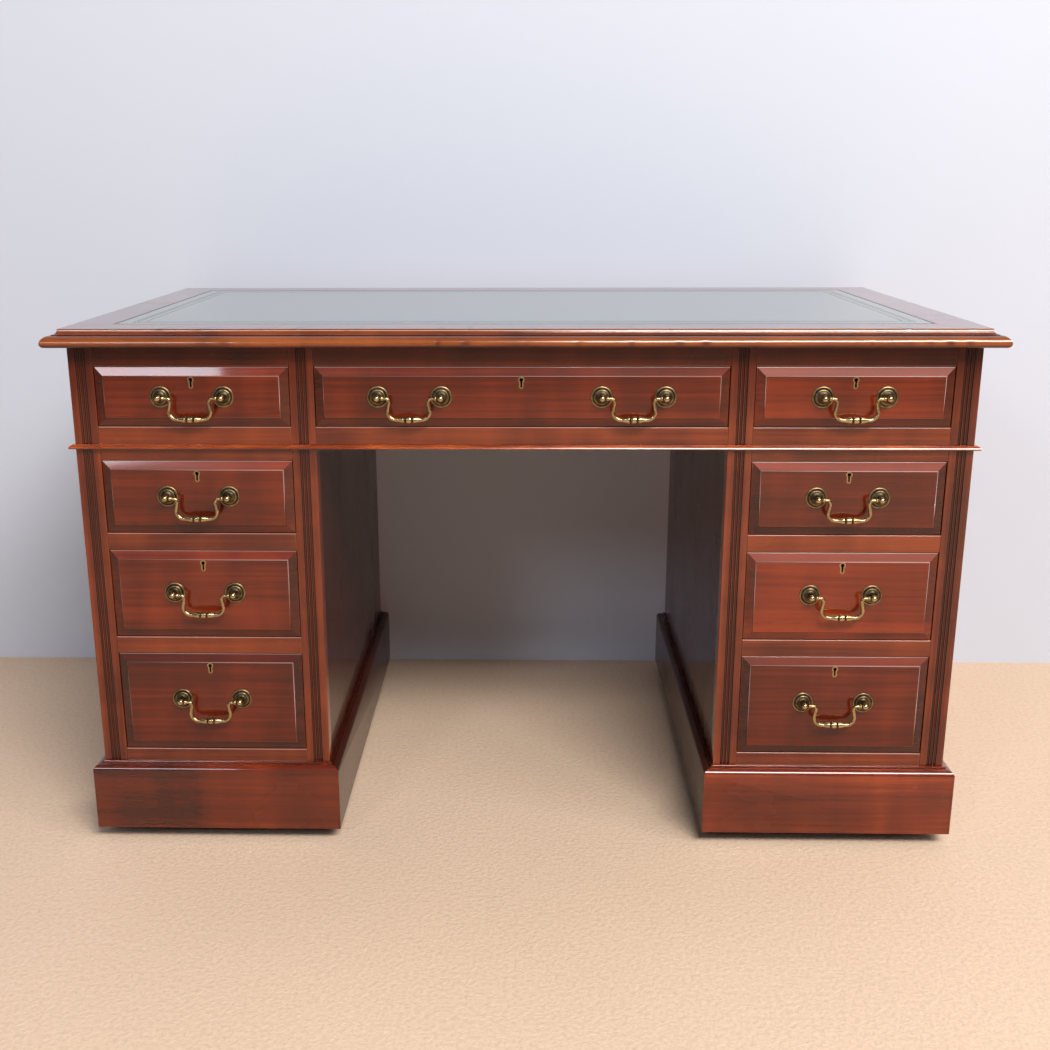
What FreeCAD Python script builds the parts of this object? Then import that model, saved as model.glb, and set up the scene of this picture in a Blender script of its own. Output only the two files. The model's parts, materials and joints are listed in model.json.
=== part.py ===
import FreeCAD, Part
import math
import os
from collections import namedtuple

V = FreeCAD.Vector

# Front elevation, heights from the floor up; every length is in millimetres
plinth_floor_gap = 20.0
plinth_height = 100.0
bottom_rail_height = 18.5
lower_drawer_height = 146.0
middle_drawer_height = 126.5
upper_drawer_height = 102.0
drawer_rail_height = 24.0
pedestal_top_rail_height = 16.0
frieze_bottom_rail_height = 29.5
frieze_drawer_height = 81.0
frieze_top_rail_height = 26.5
top_thickness = 23.0

# Front elevation, widths, and the depth of the carcass
knee_width = 546.0
stile_width = 32.5
side_drawer_width = 258.5
carcass_depth = 626.0
front_overhang = 26.0
rear_overhang = 14.0

# Boards of the carcass
side_thickness = 18.0
stile_thickness = 20.0
back_thickness = 12.0
partition_thickness = 18.0
dust_board_thickness = 9.0
bottom_board_thickness = 15.0
rail_depth = 60.0
runner_reach = 14.0
guide_height = 14.0
castor_block_size = 84.0

# Flutes cut in every stile
flute_count = 3
flute_pitch = 4.7
flute_radius = 1.5

# Moulded edge of the top, from the upper arris out to the nose and back underneath
top_edge_run = 18.5
top_fillet_drop = 2.5
top_cove_run = 6.0
top_cove_drop = 4.5
top_quirk_drop = 1.0
top_thumb_drop = 9.0
top_under_run = 5.0

# Writing leather
leather_margin = 56.5
leather_thickness = 1.5

# Waist moulding round the foot of the frieze
waist_height = 6.0
waist_projection = 7.5
waist_nose_drop = 4.0
waist_under_run = 1.6

# Plinth and its moulded upper edge
plinth_projection = 14.0
plinth_ledge = 3.5
plinth_fillet_drop = 3.0
plinth_ovolo_drop = 7.0

# Drawer fronts
drawer_gap = 0.8
front_edge_thickness = 16.0
front_edge_recess = 1.5
field_margin = 11.5
bevel_rise = 3.8
field_step = 1.2

# Drawer boxes
drawer_rear_space = 18.0
drawer_side_thickness = 9.0
drawer_back_thickness = 9.0
drawer_bottom_thickness = 6.0
drawer_bottom_rise = 7.0
drawer_side_drop = 5.0
groove_depth = 4.0
runner_clearance = 0.3
dovetail_lap = 5.0
dovetail_pitch = 27.0
tail_root_share = 0.56
tail_tip_share = 0.76

# Locks and keyholes
key_drop = 16.6
key_head_radius = 2.5
key_leg_width = 2.4
key_leg_drop = 9.0
escutcheon_wall = 1.7
escutcheon_depth = 3.0
lock_width = 44.0
lock_depth = 9.0
lock_above_key = 9.0
lock_below_key = 20.0
lock_bolt_width = 14.0
lock_bolt_thickness = 5.0

# Swan-neck handles
handle_span = 83.5
centre_handle_offset = 147.0
frieze_handle_rise = 0.5
upper_handle_rise = 2.0
middle_handle_rise = 3.5
lower_handle_rise = 6.0
rose_radius = 14.0
rose_height = 4.2
post_standoff = 13.5
ball_radius = 4.1
shoulder_radius = 4.0
shoulder_height = 1.2
neck_radius = 2.5
shank_radius = 2.2
nut_width = 9.0
nut_thickness = 4.0
shank_tail = 1.5
pin_radius = 1.4
pin_reach = 1.2
pin_hole_reach = 1.6
bail_collar_radius = 3.2
bail_collar_length = 2.4
bail_drop = 28.0
bail_leg_inset = 16.0
bail_neck_bend = 4.5
bail_leg_bend = 11.0
bail_lean = 11.0
bail_neck_radius = 2.1
bail_foot_radius = 2.6
bail_swell_radius = 4.1
bail_bead_radius = 4.5

# Castors
castor_height = 63.0
castor_inset = 46.0
castor_trail = 14.0
plate_radius = 21.0
plate_thickness = 3.0
pintle_radius = 4.0
pintle_head_radius = 6.5
pintle_head_height = 1.6
boss_radius = 10.0
boss_height = 13.0
cheek_thickness = 3.0
cheek_eye_radius = 6.0
wheel_radius = 18.0
wheel_width = 14.0
wheel_rounding = 2.5
axle_radius = 2.5
axle_head_radius = 4.0
axle_head_height = 1.2

# Fits
running_clearance = 0.08
fixed_clearance = 0.05
side_clearance = 0.3
overrun = 5.0

# Arc through-points as shares of run and drop: a quarter turn that starts level, and one that starts upright
level_start_shares = (math.sin(math.pi / 4), 1 - math.cos(math.pi / 4))
upright_start_shares = (level_start_shares[1], level_start_shares[0])

# Rose outline from rim to boss: radius and height as shares, and the through-point of an arc that leads there
rose_outline_shares = [
    ((1.0, 0.0), None),
    ((1.0, 0.2), None),
    ((0.84, 0.24), (0.92, 0.58)),
    ((0.76, 0.24), None),
    ((0.42, 1.0), (0.56, 0.5)),
]
# Grip of the bail from its middle to its foot: place along the half grip as a share, radius as a share of
# the swell above the foot
grip_swell_shares = [(0.36, 1.0), (0.55, 0.72), (0.78, 0.26), (1.0, 0.0)]
grip_groove_share = 0.27
grip_bead_share = 0.17
grip_groove_depth_share = 0.6
cheek_width_share = 0.8

# Levels and lines that follow from the sizes above
z_plinth_top = plinth_floor_gap + plinth_height
z_lower = z_plinth_top + bottom_rail_height
z_middle = z_lower + lower_drawer_height + drawer_rail_height
z_upper = z_middle + middle_drawer_height + drawer_rail_height
z_pedestal_top = z_upper + upper_drawer_height + pedestal_top_rail_height
z_frieze_drawer = z_pedestal_top + frieze_bottom_rail_height
z_frieze_top = z_frieze_drawer + frieze_drawer_height + frieze_top_rail_height
z_top = z_frieze_top + top_thickness
x_knee = knee_width / 2
x_drawer_inner = x_knee + stile_width
x_drawer_outer = x_drawer_inner + side_drawer_width
x_outer = x_drawer_outer + stile_width
x_top = x_outer + front_overhang
y_top = (front_overhang + carcass_depth + rear_overhang) / 2
y_front = front_overhang - y_top
y_back = y_top - rear_overhang
y_stile_back = y_front + stile_thickness
y_rail_back = y_front + rail_depth
y_back_inner = y_back - back_thickness
y_front_edge = y_front + front_edge_recess
y_front_inner = y_front_edge + front_edge_thickness
y_field = y_front_edge - bevel_rise - field_step
y_drawer_back = y_back_inner - drawer_rear_space
y_handle_axis = y_field - post_standoff
z_axle = wheel_radius
z_boss_top = castor_height - plate_thickness - side_clearance
z_boss_low = z_boss_top - boss_height

SIDES = {"left": -1, "right": 1}
Bay = namedtuple("Bay", "name x_low x_high z_low z_high z_handle bails")


def slab(x_a, x_b, y_a, y_b, z_a, z_b):
    """A board between two opposite corners, given in any order."""
    corner = V(min(x_a, x_b), min(y_a, y_b), min(z_a, z_b))
    return Part.makeBox(abs(x_b - x_a), abs(y_b - y_a), abs(z_b - z_a), corner)


def prism(points, direction):
    """A solid swept in a straight line from the flat outline through the points."""
    return Part.Face(Part.makePolygon(points + points[:1])).extrude(direction)


def disc(radius, start, end):
    """A round bar between two points."""
    axis = end - start
    return Part.makeCylinder(radius, axis.Length, start, axis)


def save(name, solids):
    """Write one named piece, or a group of like pieces, to its own file."""
    Part.makeCompound(solids).exportStep("parts/%s.step" % name)


def moulded_section(profile, low, high, place):
    """A slice whose two edges follow one profile of (inset, height, arc shares), listed from the top down."""
    edges = []
    for edge, inward in ((high, -1), (low, 1)):
        for (inset_a, z_a, _), (inset_b, z_b, shares) in zip(profile, profile[1:]):
            start = place(edge + inward * inset_a, z_a)
            end = place(edge + inward * inset_b, z_b)
            if shares is None:
                edges.append(Part.makeLine(start, end))
                continue
            inset = inset_a + (inset_b - inset_a) * shares[0]
            height = z_a + (z_b - z_a) * shares[1]
            edges.append(Part.Arc(start, place(edge + inward * inset, height), end).toShape())
    for inset, z, _ in (profile[0], profile[-1]):
        edges.append(Part.makeLine(place(low + inset, z), place(high - inset, z)))
    return Part.Face(Part.Wire(Part.__sortEdges__(edges)))


def moulded_block(profile, x_low, x_high, y_low, y_high):
    """A block with the same moulding on its four sides, mitred where two lengths of it meet."""
    across = moulded_section(profile, x_low, x_high, lambda x, z: V(x, y_low - overrun, z))
    along = moulded_section(profile, y_low, y_high, lambda y, z: V(x_low - overrun, y, z))
    across = across.extrude(V(0, y_high - y_low + 2 * overrun, 0))
    along = along.extrude(V(x_high - x_low + 2 * overrun, 0, 0))
    return across.common(along).Solids[0]


def mitred_lengths(ring, x_low, x_high, y_low, y_high, width):
    """Cut a ring of moulding into four lengths at its mitres."""
    box = ring.BoundBox
    rise = V(0, 0, box.ZLength + 2 * overrun)
    reach = width + overrun
    outer = [(x_low - overrun, y_low - overrun), (x_high + overrun, y_low - overrun),
             (x_high + overrun, y_high + overrun), (x_low - overrun, y_high + overrun)]
    inner = [(x_low + reach, y_low + reach), (x_high - reach, y_low + reach),
             (x_high - reach, y_high - reach), (x_low + reach, y_high - reach)]
    lengths = []
    for k in range(len(outer)):
        following = (k + 1) % len(outer)
        corners = [outer[k], outer[following], inner[following], inner[k]]
        wedge = prism([V(x, y, box.ZMin - overrun) for x, y in corners], rise)
        lengths += ring.common(wedge).Solids
    return lengths


def desk_top():
    """The moulded top with its sunk bed, and the leather that fills the bed."""
    levels = [z_top - top_fillet_drop]
    levels.append(levels[-1] - top_cove_drop)
    levels.append(levels[-1] - top_quirk_drop)
    levels.append(levels[-1] - top_thumb_drop)
    thumb_run = top_edge_run - top_cove_run
    profile = [(top_edge_run, z_top, None), (top_edge_run, levels[0], None),
               (thumb_run, levels[1], upright_start_shares), (thumb_run, levels[2], None),
               (0, levels[3], level_start_shares), (top_under_run, z_frieze_top, upright_start_shares)]
    board = moulded_block(profile, -x_top, x_top, -y_top, y_top)
    margin = top_edge_run + leather_margin
    z_bed = z_top - leather_thickness
    leather = slab(margin - x_top, x_top - margin, margin - y_top, y_top - margin, z_bed, z_top)
    return board.cut(leather).Solids, [leather]


def waist_moulding():
    """Thumb moulding in four mitred lengths round the foot of the frieze."""
    z_high = z_pedestal_top + waist_height
    profile = [(waist_projection, z_high, None), (0, z_high - waist_nose_drop, level_start_shares),
               (waist_under_run, z_pedestal_top, upright_start_shares)]
    x_nose = x_outer + waist_projection
    y_ends = (y_front - waist_projection, y_back + waist_projection)
    block = moulded_block(profile, -x_nose, x_nose, *y_ends)
    core = slab(-x_outer, x_outer, y_front, y_back, z_pedestal_top - overrun, z_high + overrun)
    return mitred_lengths(block.cut(core), -x_nose, x_nose, *y_ends, waist_projection)


def plinth(side):
    """Four mitred boards round the foot of one pedestal, moulded along their upper edge."""
    ledge_inset = plinth_projection - plinth_ledge
    z_fillet = z_plinth_top - plinth_fillet_drop
    profile = [(plinth_projection, z_plinth_top, None), (ledge_inset, z_plinth_top, None),
               (ledge_inset, z_fillet, None), (0, z_fillet - plinth_ovolo_drop, level_start_shares),
               (0, plinth_floor_gap, None)]
    x_ends = sorted((side * (x_knee - plinth_projection), side * (x_outer + plinth_projection)))
    y_ends = (y_front - plinth_projection, y_back + plinth_projection)
    block = moulded_block(profile, *x_ends, *y_ends)
    z_ends = (plinth_floor_gap - overrun, z_plinth_top + overrun)
    core = slab(side * x_knee, side * x_outer, y_front, y_back, *z_ends)
    return mitred_lengths(block.cut(core), *x_ends, *y_ends, plinth_projection)


def fluted_stile(x_a, x_b, z_low, z_flutes, z_high):
    """An upright of the front frame, with its flutes running up from a given level."""
    board = slab(x_a, x_b, y_front, y_stile_back, z_low, z_high)
    flutes = []
    for k in range(flute_count):
        x = (x_a + x_b) / 2 + flute_pitch * (k - (flute_count - 1) / 2)
        flutes.append(disc(flute_radius, V(x, y_front, z_flutes), V(x, y_front, z_high + overrun)))
    return board.cut(flutes).Solids[0]


def frieze_bays():
    """The three drawer openings of the frieze, left to right."""
    heights = (z_frieze_drawer, z_frieze_drawer + frieze_drawer_height,
               z_frieze_drawer + frieze_drawer_height / 2 + frieze_handle_rise)
    centre_bails = {"left": -centre_handle_offset, "right": centre_handle_offset}
    return [
        Bay("frieze_left", -x_drawer_outer, -x_drawer_inner, *heights, {"": 0}),
        Bay("frieze_centre", -x_knee, x_knee, *heights, centre_bails),
        Bay("frieze_right", x_drawer_inner, x_drawer_outer, *heights, {"": 0}),
    ]


def pedestal_bays(name):
    """The three drawer openings of one pedestal, from the bottom up."""
    x_low, x_high = sorted((SIDES[name] * x_drawer_inner, SIDES[name] * x_drawer_outer))
    tiers = [("lower", z_lower, lower_drawer_height, lower_handle_rise),
             ("middle", z_middle, middle_drawer_height, middle_handle_rise),
             ("upper", z_upper, upper_drawer_height, upper_handle_rise)]
    return [Bay("%s_%s" % (name, tier), x_low, x_high, z, z + height, z + height / 2 + rise, {"": 0})
            for tier, z, height, rise in tiers]


def all_bays():
    return frieze_bays() + pedestal_bays("left") + pedestal_bays("right")


def frieze_panels():
    """Ends, back and dust board of the frieze."""
    panels = []
    for side in SIDES.values():
        x_inner = side * (x_outer - side_thickness)
        panels.append(slab(side * x_outer, x_inner, y_stile_back, y_back, z_pedestal_top, z_frieze_top))
    x_inner = x_outer - side_thickness
    panels.append(slab(-x_inner, x_inner, y_back_inner, y_back, z_pedestal_top, z_frieze_top))
    z_dust = z_pedestal_top + dust_board_thickness
    panels.append(slab(-x_inner, x_inner, y_rail_back, y_back_inner, z_pedestal_top, z_dust))
    return panels


def frieze_partitions():
    """Upright boards between the frieze drawers, behind the inner stiles."""
    x_middle = x_knee + stile_width / 2
    half = partition_thickness / 2
    z_dust = z_pedestal_top + dust_board_thickness
    boards = []
    for side in SIDES.values():
        x_a, x_b = side * x_middle - half, side * x_middle + half
        boards.append(slab(x_a, x_b, y_stile_back, y_back_inner, z_dust, z_frieze_top))
    return boards


def frieze_front_frame():
    """Fluted stiles, with a rail above and below each drawer between them."""
    pieces = []
    for side in SIDES.values():
        for x_a, x_b in ((x_knee, x_drawer_inner), (x_drawer_outer, x_outer)):
            pieces.append(fluted_stile(side * x_a, side * x_b, z_pedestal_top, z_pedestal_top, z_frieze_top))
    for bay in frieze_bays():
        pieces.append(slab(bay.x_low, bay.x_high, y_front, y_rail_back, z_pedestal_top, bay.z_low))
        pieces.append(slab(bay.x_low, bay.x_high, y_front, y_rail_back, bay.z_high, z_frieze_top))
    return pieces


def pedestal_panels(side):
    """Two sides and the back of one pedestal."""
    panels = []
    for x_face, inward in ((x_outer, -1), (x_knee, 1)):
        x_inner = side * (x_face + inward * side_thickness)
        panels.append(slab(side * x_face, x_inner, y_stile_back, y_back, castor_height, z_pedestal_top))
    x_a, x_b = side * (x_knee + side_thickness), side * (x_outer - side_thickness)
    panels.append(slab(x_a, x_b, y_back_inner, y_back, castor_height, z_pedestal_top))
    return panels


def pedestal_boards(side):
    """Top board, bottom board and four castor blocks of one pedestal."""
    x_a, x_b = sorted((side * (x_knee + side_thickness), side * (x_outer - side_thickness)))
    z_ceiling = z_pedestal_top - pedestal_top_rail_height
    z_bottom = z_plinth_top - bottom_board_thickness
    boards = [slab(x_a, x_b, y_rail_back, y_back_inner, z_ceiling, z_pedestal_top),
              slab(x_a, x_b, y_stile_back, y_back_inner, z_bottom, z_plinth_top)]
    for x, across in ((x_a, 1), (x_b, -1)):
        for y, along in ((y_stile_back, 1), (y_back_inner, -1)):
            x_far, y_far = x + across * castor_block_size, y + along * castor_block_size
            boards.append(slab(x, x_far, y, y_far, castor_height, z_bottom))
    return boards


def pedestal_front_frame(name):
    """Two fluted stiles and four rails of one pedestal front."""
    side = SIDES[name]
    pieces = []
    for x_a, x_b in ((x_knee, x_drawer_inner), (x_drawer_outer, x_outer)):
        pieces.append(fluted_stile(side * x_a, side * x_b, castor_height, z_plinth_top, z_pedestal_top))
    x_a, x_b = side * x_drawer_inner, side * x_drawer_outer
    bays = pedestal_bays(name)
    pieces.append(slab(x_a, x_b, y_front, y_stile_back, castor_height, z_plinth_top))
    lows = [z_plinth_top] + [bay.z_high for bay in bays]
    highs = [bay.z_low for bay in bays] + [z_pedestal_top]
    for z_a, z_b in zip(lows, highs):
        pieces.append(slab(x_a, x_b, y_front, y_rail_back, z_a, z_b))
    return pieces


def runner_pair(bay, x_walls, z_foot):
    """A runner under each side of a drawer, with a guide on it that fills the space out to the wall."""
    pieces = []
    for x_opening, x_wall, inward in ((bay.x_low, x_walls[0], 1), (bay.x_high, x_walls[1], -1)):
        x_reach = x_opening + inward * runner_reach
        pieces.append(slab(x_wall, x_reach, y_rail_back, y_back_inner, z_foot, bay.z_low))
        z_guide = bay.z_low + guide_height
        pieces.append(slab(x_wall, x_opening, y_rail_back, y_back_inner, bay.z_low, z_guide))
    return pieces


def drawer_runners():
    """Runners and guides of all the drawers."""
    pieces = []
    partition_gap = (stile_width - partition_thickness) / 2
    end_gap = stile_width - side_thickness
    gaps = {"frieze_left": (end_gap, partition_gap), "frieze_centre": (partition_gap, partition_gap),
            "frieze_right": (partition_gap, end_gap)}
    for bay in frieze_bays():
        low_gap, high_gap = gaps[bay.name]
        walls = (bay.x_low - low_gap, bay.x_high + high_gap)
        pieces += runner_pair(bay, walls, z_pedestal_top + dust_board_thickness)
    for name in SIDES:
        z_foot = z_plinth_top
        for bay in pedestal_bays(name):
            pieces += runner_pair(bay, (bay.x_low - end_gap, bay.x_high + end_gap), z_foot)
            z_foot = bay.z_high
    return pieces


def keyhole(x, z, y_a, y_b, wall):
    """A keyhole-shaped plug along Y: a round head over a narrower round-ended leg, grown by a wall."""
    depth = V(0, y_b - y_a, 0)
    leg = key_leg_width / 2 + wall
    z_foot = z - key_leg_drop
    head = disc(key_head_radius + wall, V(x, y_a, z), V(x, y_a, z) + depth)
    foot = disc(leg, V(x, y_a, z_foot), V(x, y_a, z_foot) + depth)
    return head.fuse([slab(x - leg, x + leg, y_a, y_b, z_foot, z), foot]).removeSplitter()


def tail_outlines(y_shoulder, y_tip, z_low, z_high):
    """Dovetail outlines in a YZ plane, from the bottom up, each wider at its tip than at its shoulder."""
    count = max(2, round((z_high - z_low) / dovetail_pitch))
    pitch = (z_high - z_low) / count
    root, tip = pitch * tail_root_share / 2, pitch * tail_tip_share / 2
    outlines = []
    for k in range(count):
        z = z_low + pitch * (k + 1 / 2)
        outlines.append([(y_shoulder, z - root), (y_tip, z - tip), (y_tip, z + tip), (y_shoulder, z + root)])
    return outlines


def fielded_front(x_low, x_high, z_low, z_high):
    """A drawer front: its face slopes up from the edges to a raised flat field with a small step."""
    def frame(y, margin):
        x_a, x_b = x_low + margin, x_high - margin
        z_a, z_b = z_low + margin, z_high - margin
        corners = [V(x_a, y, z_a), V(x_b, y, z_a), V(x_b, y, z_b), V(x_a, y, z_b)]
        return Part.makePolygon(corners + corners[:1])
    y_bevel = y_front_edge - bevel_rise
    board = slab(x_low, x_high, y_front_edge, y_front_inner, z_low, z_high)
    bevel = Part.makeLoft([frame(y_front_edge, 0), frame(y_bevel, field_margin)], True, True)
    field = slab(x_low + field_margin, x_high - field_margin, y_bevel, y_field, z_low + field_margin,
                 z_high - field_margin)
    return board.fuse([bevel, field]).removeSplitter()


def drawer_lock(x, z_key, z_edge):
    """Lock case let into the back of a drawer front, with its bolt drawn back level with the top edge."""
    y_case = y_front_inner - lock_depth
    z_case = z_key + lock_above_key
    case = slab(x - lock_width / 2, x + lock_width / 2, y_case, y_front_inner, z_key - lock_below_key, z_case)
    y_bolt = y_case + (lock_depth - lock_bolt_thickness) / 2
    half = lock_bolt_width / 2
    bolt = slab(x - half, x + half, y_bolt, y_bolt + lock_bolt_thickness, z_case, z_edge)
    return case, bolt


def drawer_box(bay):
    """Front, sides, back and bottom of one drawer, with lapped dovetails in front, and its brass."""
    x_low, x_high = bay.x_low + drawer_gap, bay.x_high - drawer_gap
    z_low, z_high = bay.z_low + drawer_gap, bay.z_high - drawer_gap
    z_side_low, z_side_high = bay.z_low + runner_clearance, bay.z_high - drawer_side_drop
    z_bottom = z_side_low + drawer_bottom_rise
    z_floor = z_bottom + drawer_bottom_thickness
    y_rear = y_drawer_back - drawer_back_thickness
    y_tip = y_front_edge + dovetail_lap
    thick = drawer_side_thickness
    x_middle = (x_low + x_high) / 2
    z_key = z_high - key_drop

    front_tails = tail_outlines(y_front_inner, y_tip, z_low, z_side_high)
    rear_tails = tail_outlines(y_rear, y_drawer_back, z_floor, z_side_high)
    outline = [(y_rear, z_side_low), (y_front_inner, z_side_low)]
    for tail in front_tails:
        outline += tail
    outline += [(y_front_inner, z_side_high), (y_rear, z_side_high)]
    for tail in reversed(rear_tails):
        outline += tail[::-1]
    bottom = slab(x_low + thick - groove_depth, x_high - thick + groove_depth, y_front_inner - groove_depth,
                  y_drawer_back, z_bottom, z_floor)
    sides = []
    sockets = []
    mortises = []
    for x in (x_low, x_high - thick):
        sides.append(prism([V(x, y, z) for y, z in outline], V(thick, 0, 0)).cut(bottom).Solids[0])
        sockets += [prism([V(x, y, z) for y, z in tail], V(thick, 0, 0)) for tail in front_tails]
        mortises += [prism([V(x, y, z) for y, z in tail], V(thick, 0, 0)) for tail in rear_tails]
    back = slab(x_low, x_high, y_rear, y_drawer_back, z_floor, z_side_high).cut(mortises).Solids[0]

    case, bolt = drawer_lock(x_middle, z_key, z_high)
    y_seat = y_field + escutcheon_depth
    key_way = keyhole(x_middle, z_key, y_field - overrun, y_front_inner + overrun, 0)
    plate = keyhole(x_middle, z_key, y_field, y_seat, escutcheon_wall)
    brass = [plate.cut(key_way).Solids[0], case.cut(key_way).Solids[0], bolt]
    holes = []
    for offset in bay.bails.values():
        for end in SIDES.values():
            x_post = x_middle + offset + end * handle_span / 2
            brass += handle_post(x_post, bay.z_handle, -end)
            start = V(x_post, y_field - overrun, bay.z_handle)
            through = V(x_post, y_front_inner + overrun, bay.z_handle)
            holes.append(disc(shank_radius + fixed_clearance, start, through))
    front = fielded_front(x_low, x_high, z_low, z_high)
    front = front.cut(sockets + holes + [bottom, plate, key_way, case, bolt]).Solids[0]
    return [front] + sides + [back, bottom], brass


def turned(outline, x, z):
    """A solid turned about a Y axis through (x, z); its outline gives radius and reach from the field."""
    edges = []
    points = [V(x + radius, y_field - out, z) for (radius, out), _ in outline]
    for k, (_, through) in enumerate(outline[1:]):
        if through is None:
            edges.append(Part.makeLine(points[k], points[k + 1]))
        else:
            middle = V(x + through[0], y_field - through[1], z)
            edges.append(Part.Arc(points[k], middle, points[k + 1]).toShape())
    edges.append(Part.makeLine(points[-1], points[0]))
    return Part.Face(Part.Wire(edges)).revolve(V(x, 0, z), V(0, 1, 0), 360)


def handle_post(x, z, inward):
    """Rose, ball-headed post and nut at one end of a handle; the bail's pin enters the ball from inside."""
    hole = shank_radius + fixed_clearance
    outline = [((hole, 0), None)]
    for (radius, out), through in rose_outline_shares:
        if through is not None:
            through = (through[0] * rose_radius, through[1] * rose_height)
        outline.append(((radius * rose_radius, out * rose_height), through))
    rose = turned(outline + [((hole, rose_height), None)], x, z)

    inner = y_front_inner - y_field
    tail = -(inner + nut_thickness + shank_tail)
    shoulder = rose_height + shoulder_height
    throat = post_standoff - math.sqrt(ball_radius ** 2 - neck_radius ** 2)
    post = turned([((0, tail), None), ((shank_radius, tail), None), ((shank_radius, rose_height), None),
                   ((shoulder_radius, rose_height), None), ((shoulder_radius, shoulder), None),
                   ((neck_radius, shoulder), None), ((neck_radius, throat), None),
                   ((0, post_standoff + ball_radius), (ball_radius, post_standoff))], x, z)
    start = V(x - inward * pin_hole_reach, y_handle_axis, z)
    pin_hole = disc(pin_radius + running_clearance, start, start + V(inward * ball_radius * 2, 0, 0))
    post = post.cut(pin_hole).Solids[0]

    half = nut_width / 2
    nut = slab(x - half, x + half, y_front_inner, y_front_inner + nut_thickness, z - half, z + half)
    start = V(x, y_front_inner - overrun, z)
    nut = nut.cut(disc(hole, start, start + V(0, nut_thickness + 2 * overrun, 0))).Solids[0]
    return [rose, post, nut]


def bail_leg(x_collar):
    """The right swan neck, a sweep that thickens from the collar to the foot, and the place of its foot."""
    lean = math.radians(bail_lean)
    cos, sin = math.cos(lean), math.sin(lean)
    x_turn = handle_span / 2 - bail_leg_inset + bail_neck_bend * cos
    straight = (bail_drop - (bail_neck_bend + bail_leg_bend) * (1 + sin)) / cos
    x_foot = x_turn - (bail_neck_bend + bail_leg_bend) * cos + straight * sin
    neck = V(x_turn, 0, -bail_neck_bend)
    knee = V(x_foot, 0, bail_leg_bend - bail_drop)

    def on_circle(centre, radius, angle):
        return centre + V(radius * math.cos(angle), 0, radius * math.sin(angle))
    quarter = math.pi / 2
    turn = quarter + lean
    neck_points = [on_circle(neck, bail_neck_bend, quarter + turn * share) for share in (0, 1 / 2, 1)]
    knee_points = [on_circle(knee, bail_leg_bend, lean - turn * share) for share in (0, 1 / 2, 1)]
    start = V(x_collar, 0, 0)
    path = Part.Wire([Part.makeLine(start, neck_points[0]), Part.Arc(*neck_points).toShape(),
                      Part.makeLine(neck_points[-1], knee_points[0]), Part.Arc(*knee_points).toShape()])
    ends = [Part.Wire(Part.makeCircle(radius, centre, V(1, 0, 0)))
            for radius, centre in ((bail_neck_radius, start), (bail_foot_radius, knee_points[-1]))]
    return path.makePipeShell(ends, True, False).Solids[0], x_foot


def bail_grip(x_foot):
    """The grip: a bar turned about its own axis, swelling from each foot to a groove beside the bead."""
    def at(share, radius):
        return V(x_foot * share, 0, radius - bail_drop)
    swell = bail_swell_radius - bail_foot_radius
    curve = [at(place, bail_foot_radius + swell * share) for place, share in grip_swell_shares]
    groove = at(grip_groove_share, bail_swell_radius * grip_groove_depth_share)
    rim = at(grip_bead_share, bail_swell_radius)
    smooth = Part.BSplineCurve()
    smooth.interpolate(curve)
    edges = [Part.Arc(at(-grip_bead_share, bail_swell_radius), at(0, bail_bead_radius), rim).toShape(),
             Part.makeLine(rim, groove), Part.makeLine(groove, curve[0]), smooth.toShape(),
             Part.makeLine(curve[-1], at(1, 0)), Part.makeLine(at(1, 0), at(-1, 0))]
    mirrored = [edge.mirror(V(0, 0, 0), V(1, 0, 0)) for edge in edges[1:5]]
    outline = Part.Wire(Part.__sortEdges__(edges + mirrored))
    return Part.Face(outline).revolve(V(0, 0, -bail_drop), V(1, 0, 0), 360)


def bail(x, z):
    """One swan-neck bail with its collars and pins, hanging from the line through its two posts."""
    x_post = handle_span / 2
    x_outer_face = x_post - ball_radius - side_clearance
    x_collar = x_outer_face - bail_collar_length
    leg, x_foot = bail_leg(x_collar)
    collar = disc(bail_collar_radius, V(x_collar, 0, 0), V(x_outer_face, 0, 0))
    pin = disc(pin_radius, V(x_collar, 0, 0), V(x_post + pin_reach, 0, 0))
    half = leg.fuse([collar, pin])
    whole = bail_grip(x_foot).fuse([half, half.mirror(V(0, 0, 0), V(1, 0, 0))]).removeSplitter()
    whole.translate(V(x, y_handle_axis, z))
    return whole.Solids[0]


def castor_places():
    """Name and pivot of every castor, near the corners of the two pedestals."""
    places = []
    for name, side in SIDES.items():
        for depth, y in (("front", y_front + castor_inset), ("rear", y_back - castor_inset)):
            for reach, x in (("outer", x_outer - castor_inset), ("inner", x_knee + castor_inset)):
                places.append(("%s_%s_%s" % (name, depth, reach), side * x, y))
    return places


def castor_plate(x, y):
    """Plate under a castor block, with the pintle and its head that the horn turns on."""
    z_plate = castor_height - plate_thickness
    z_head = z_boss_low - side_clearance
    plate = disc(plate_radius, V(x, y, z_plate), V(x, y, castor_height))
    pintle = disc(pintle_radius, V(x, y, z_head), V(x, y, z_plate))
    head = disc(pintle_head_radius, V(x, y, z_head - pintle_head_height), V(x, y, z_head))
    return plate.fuse([pintle, head]).removeSplitter()


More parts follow.
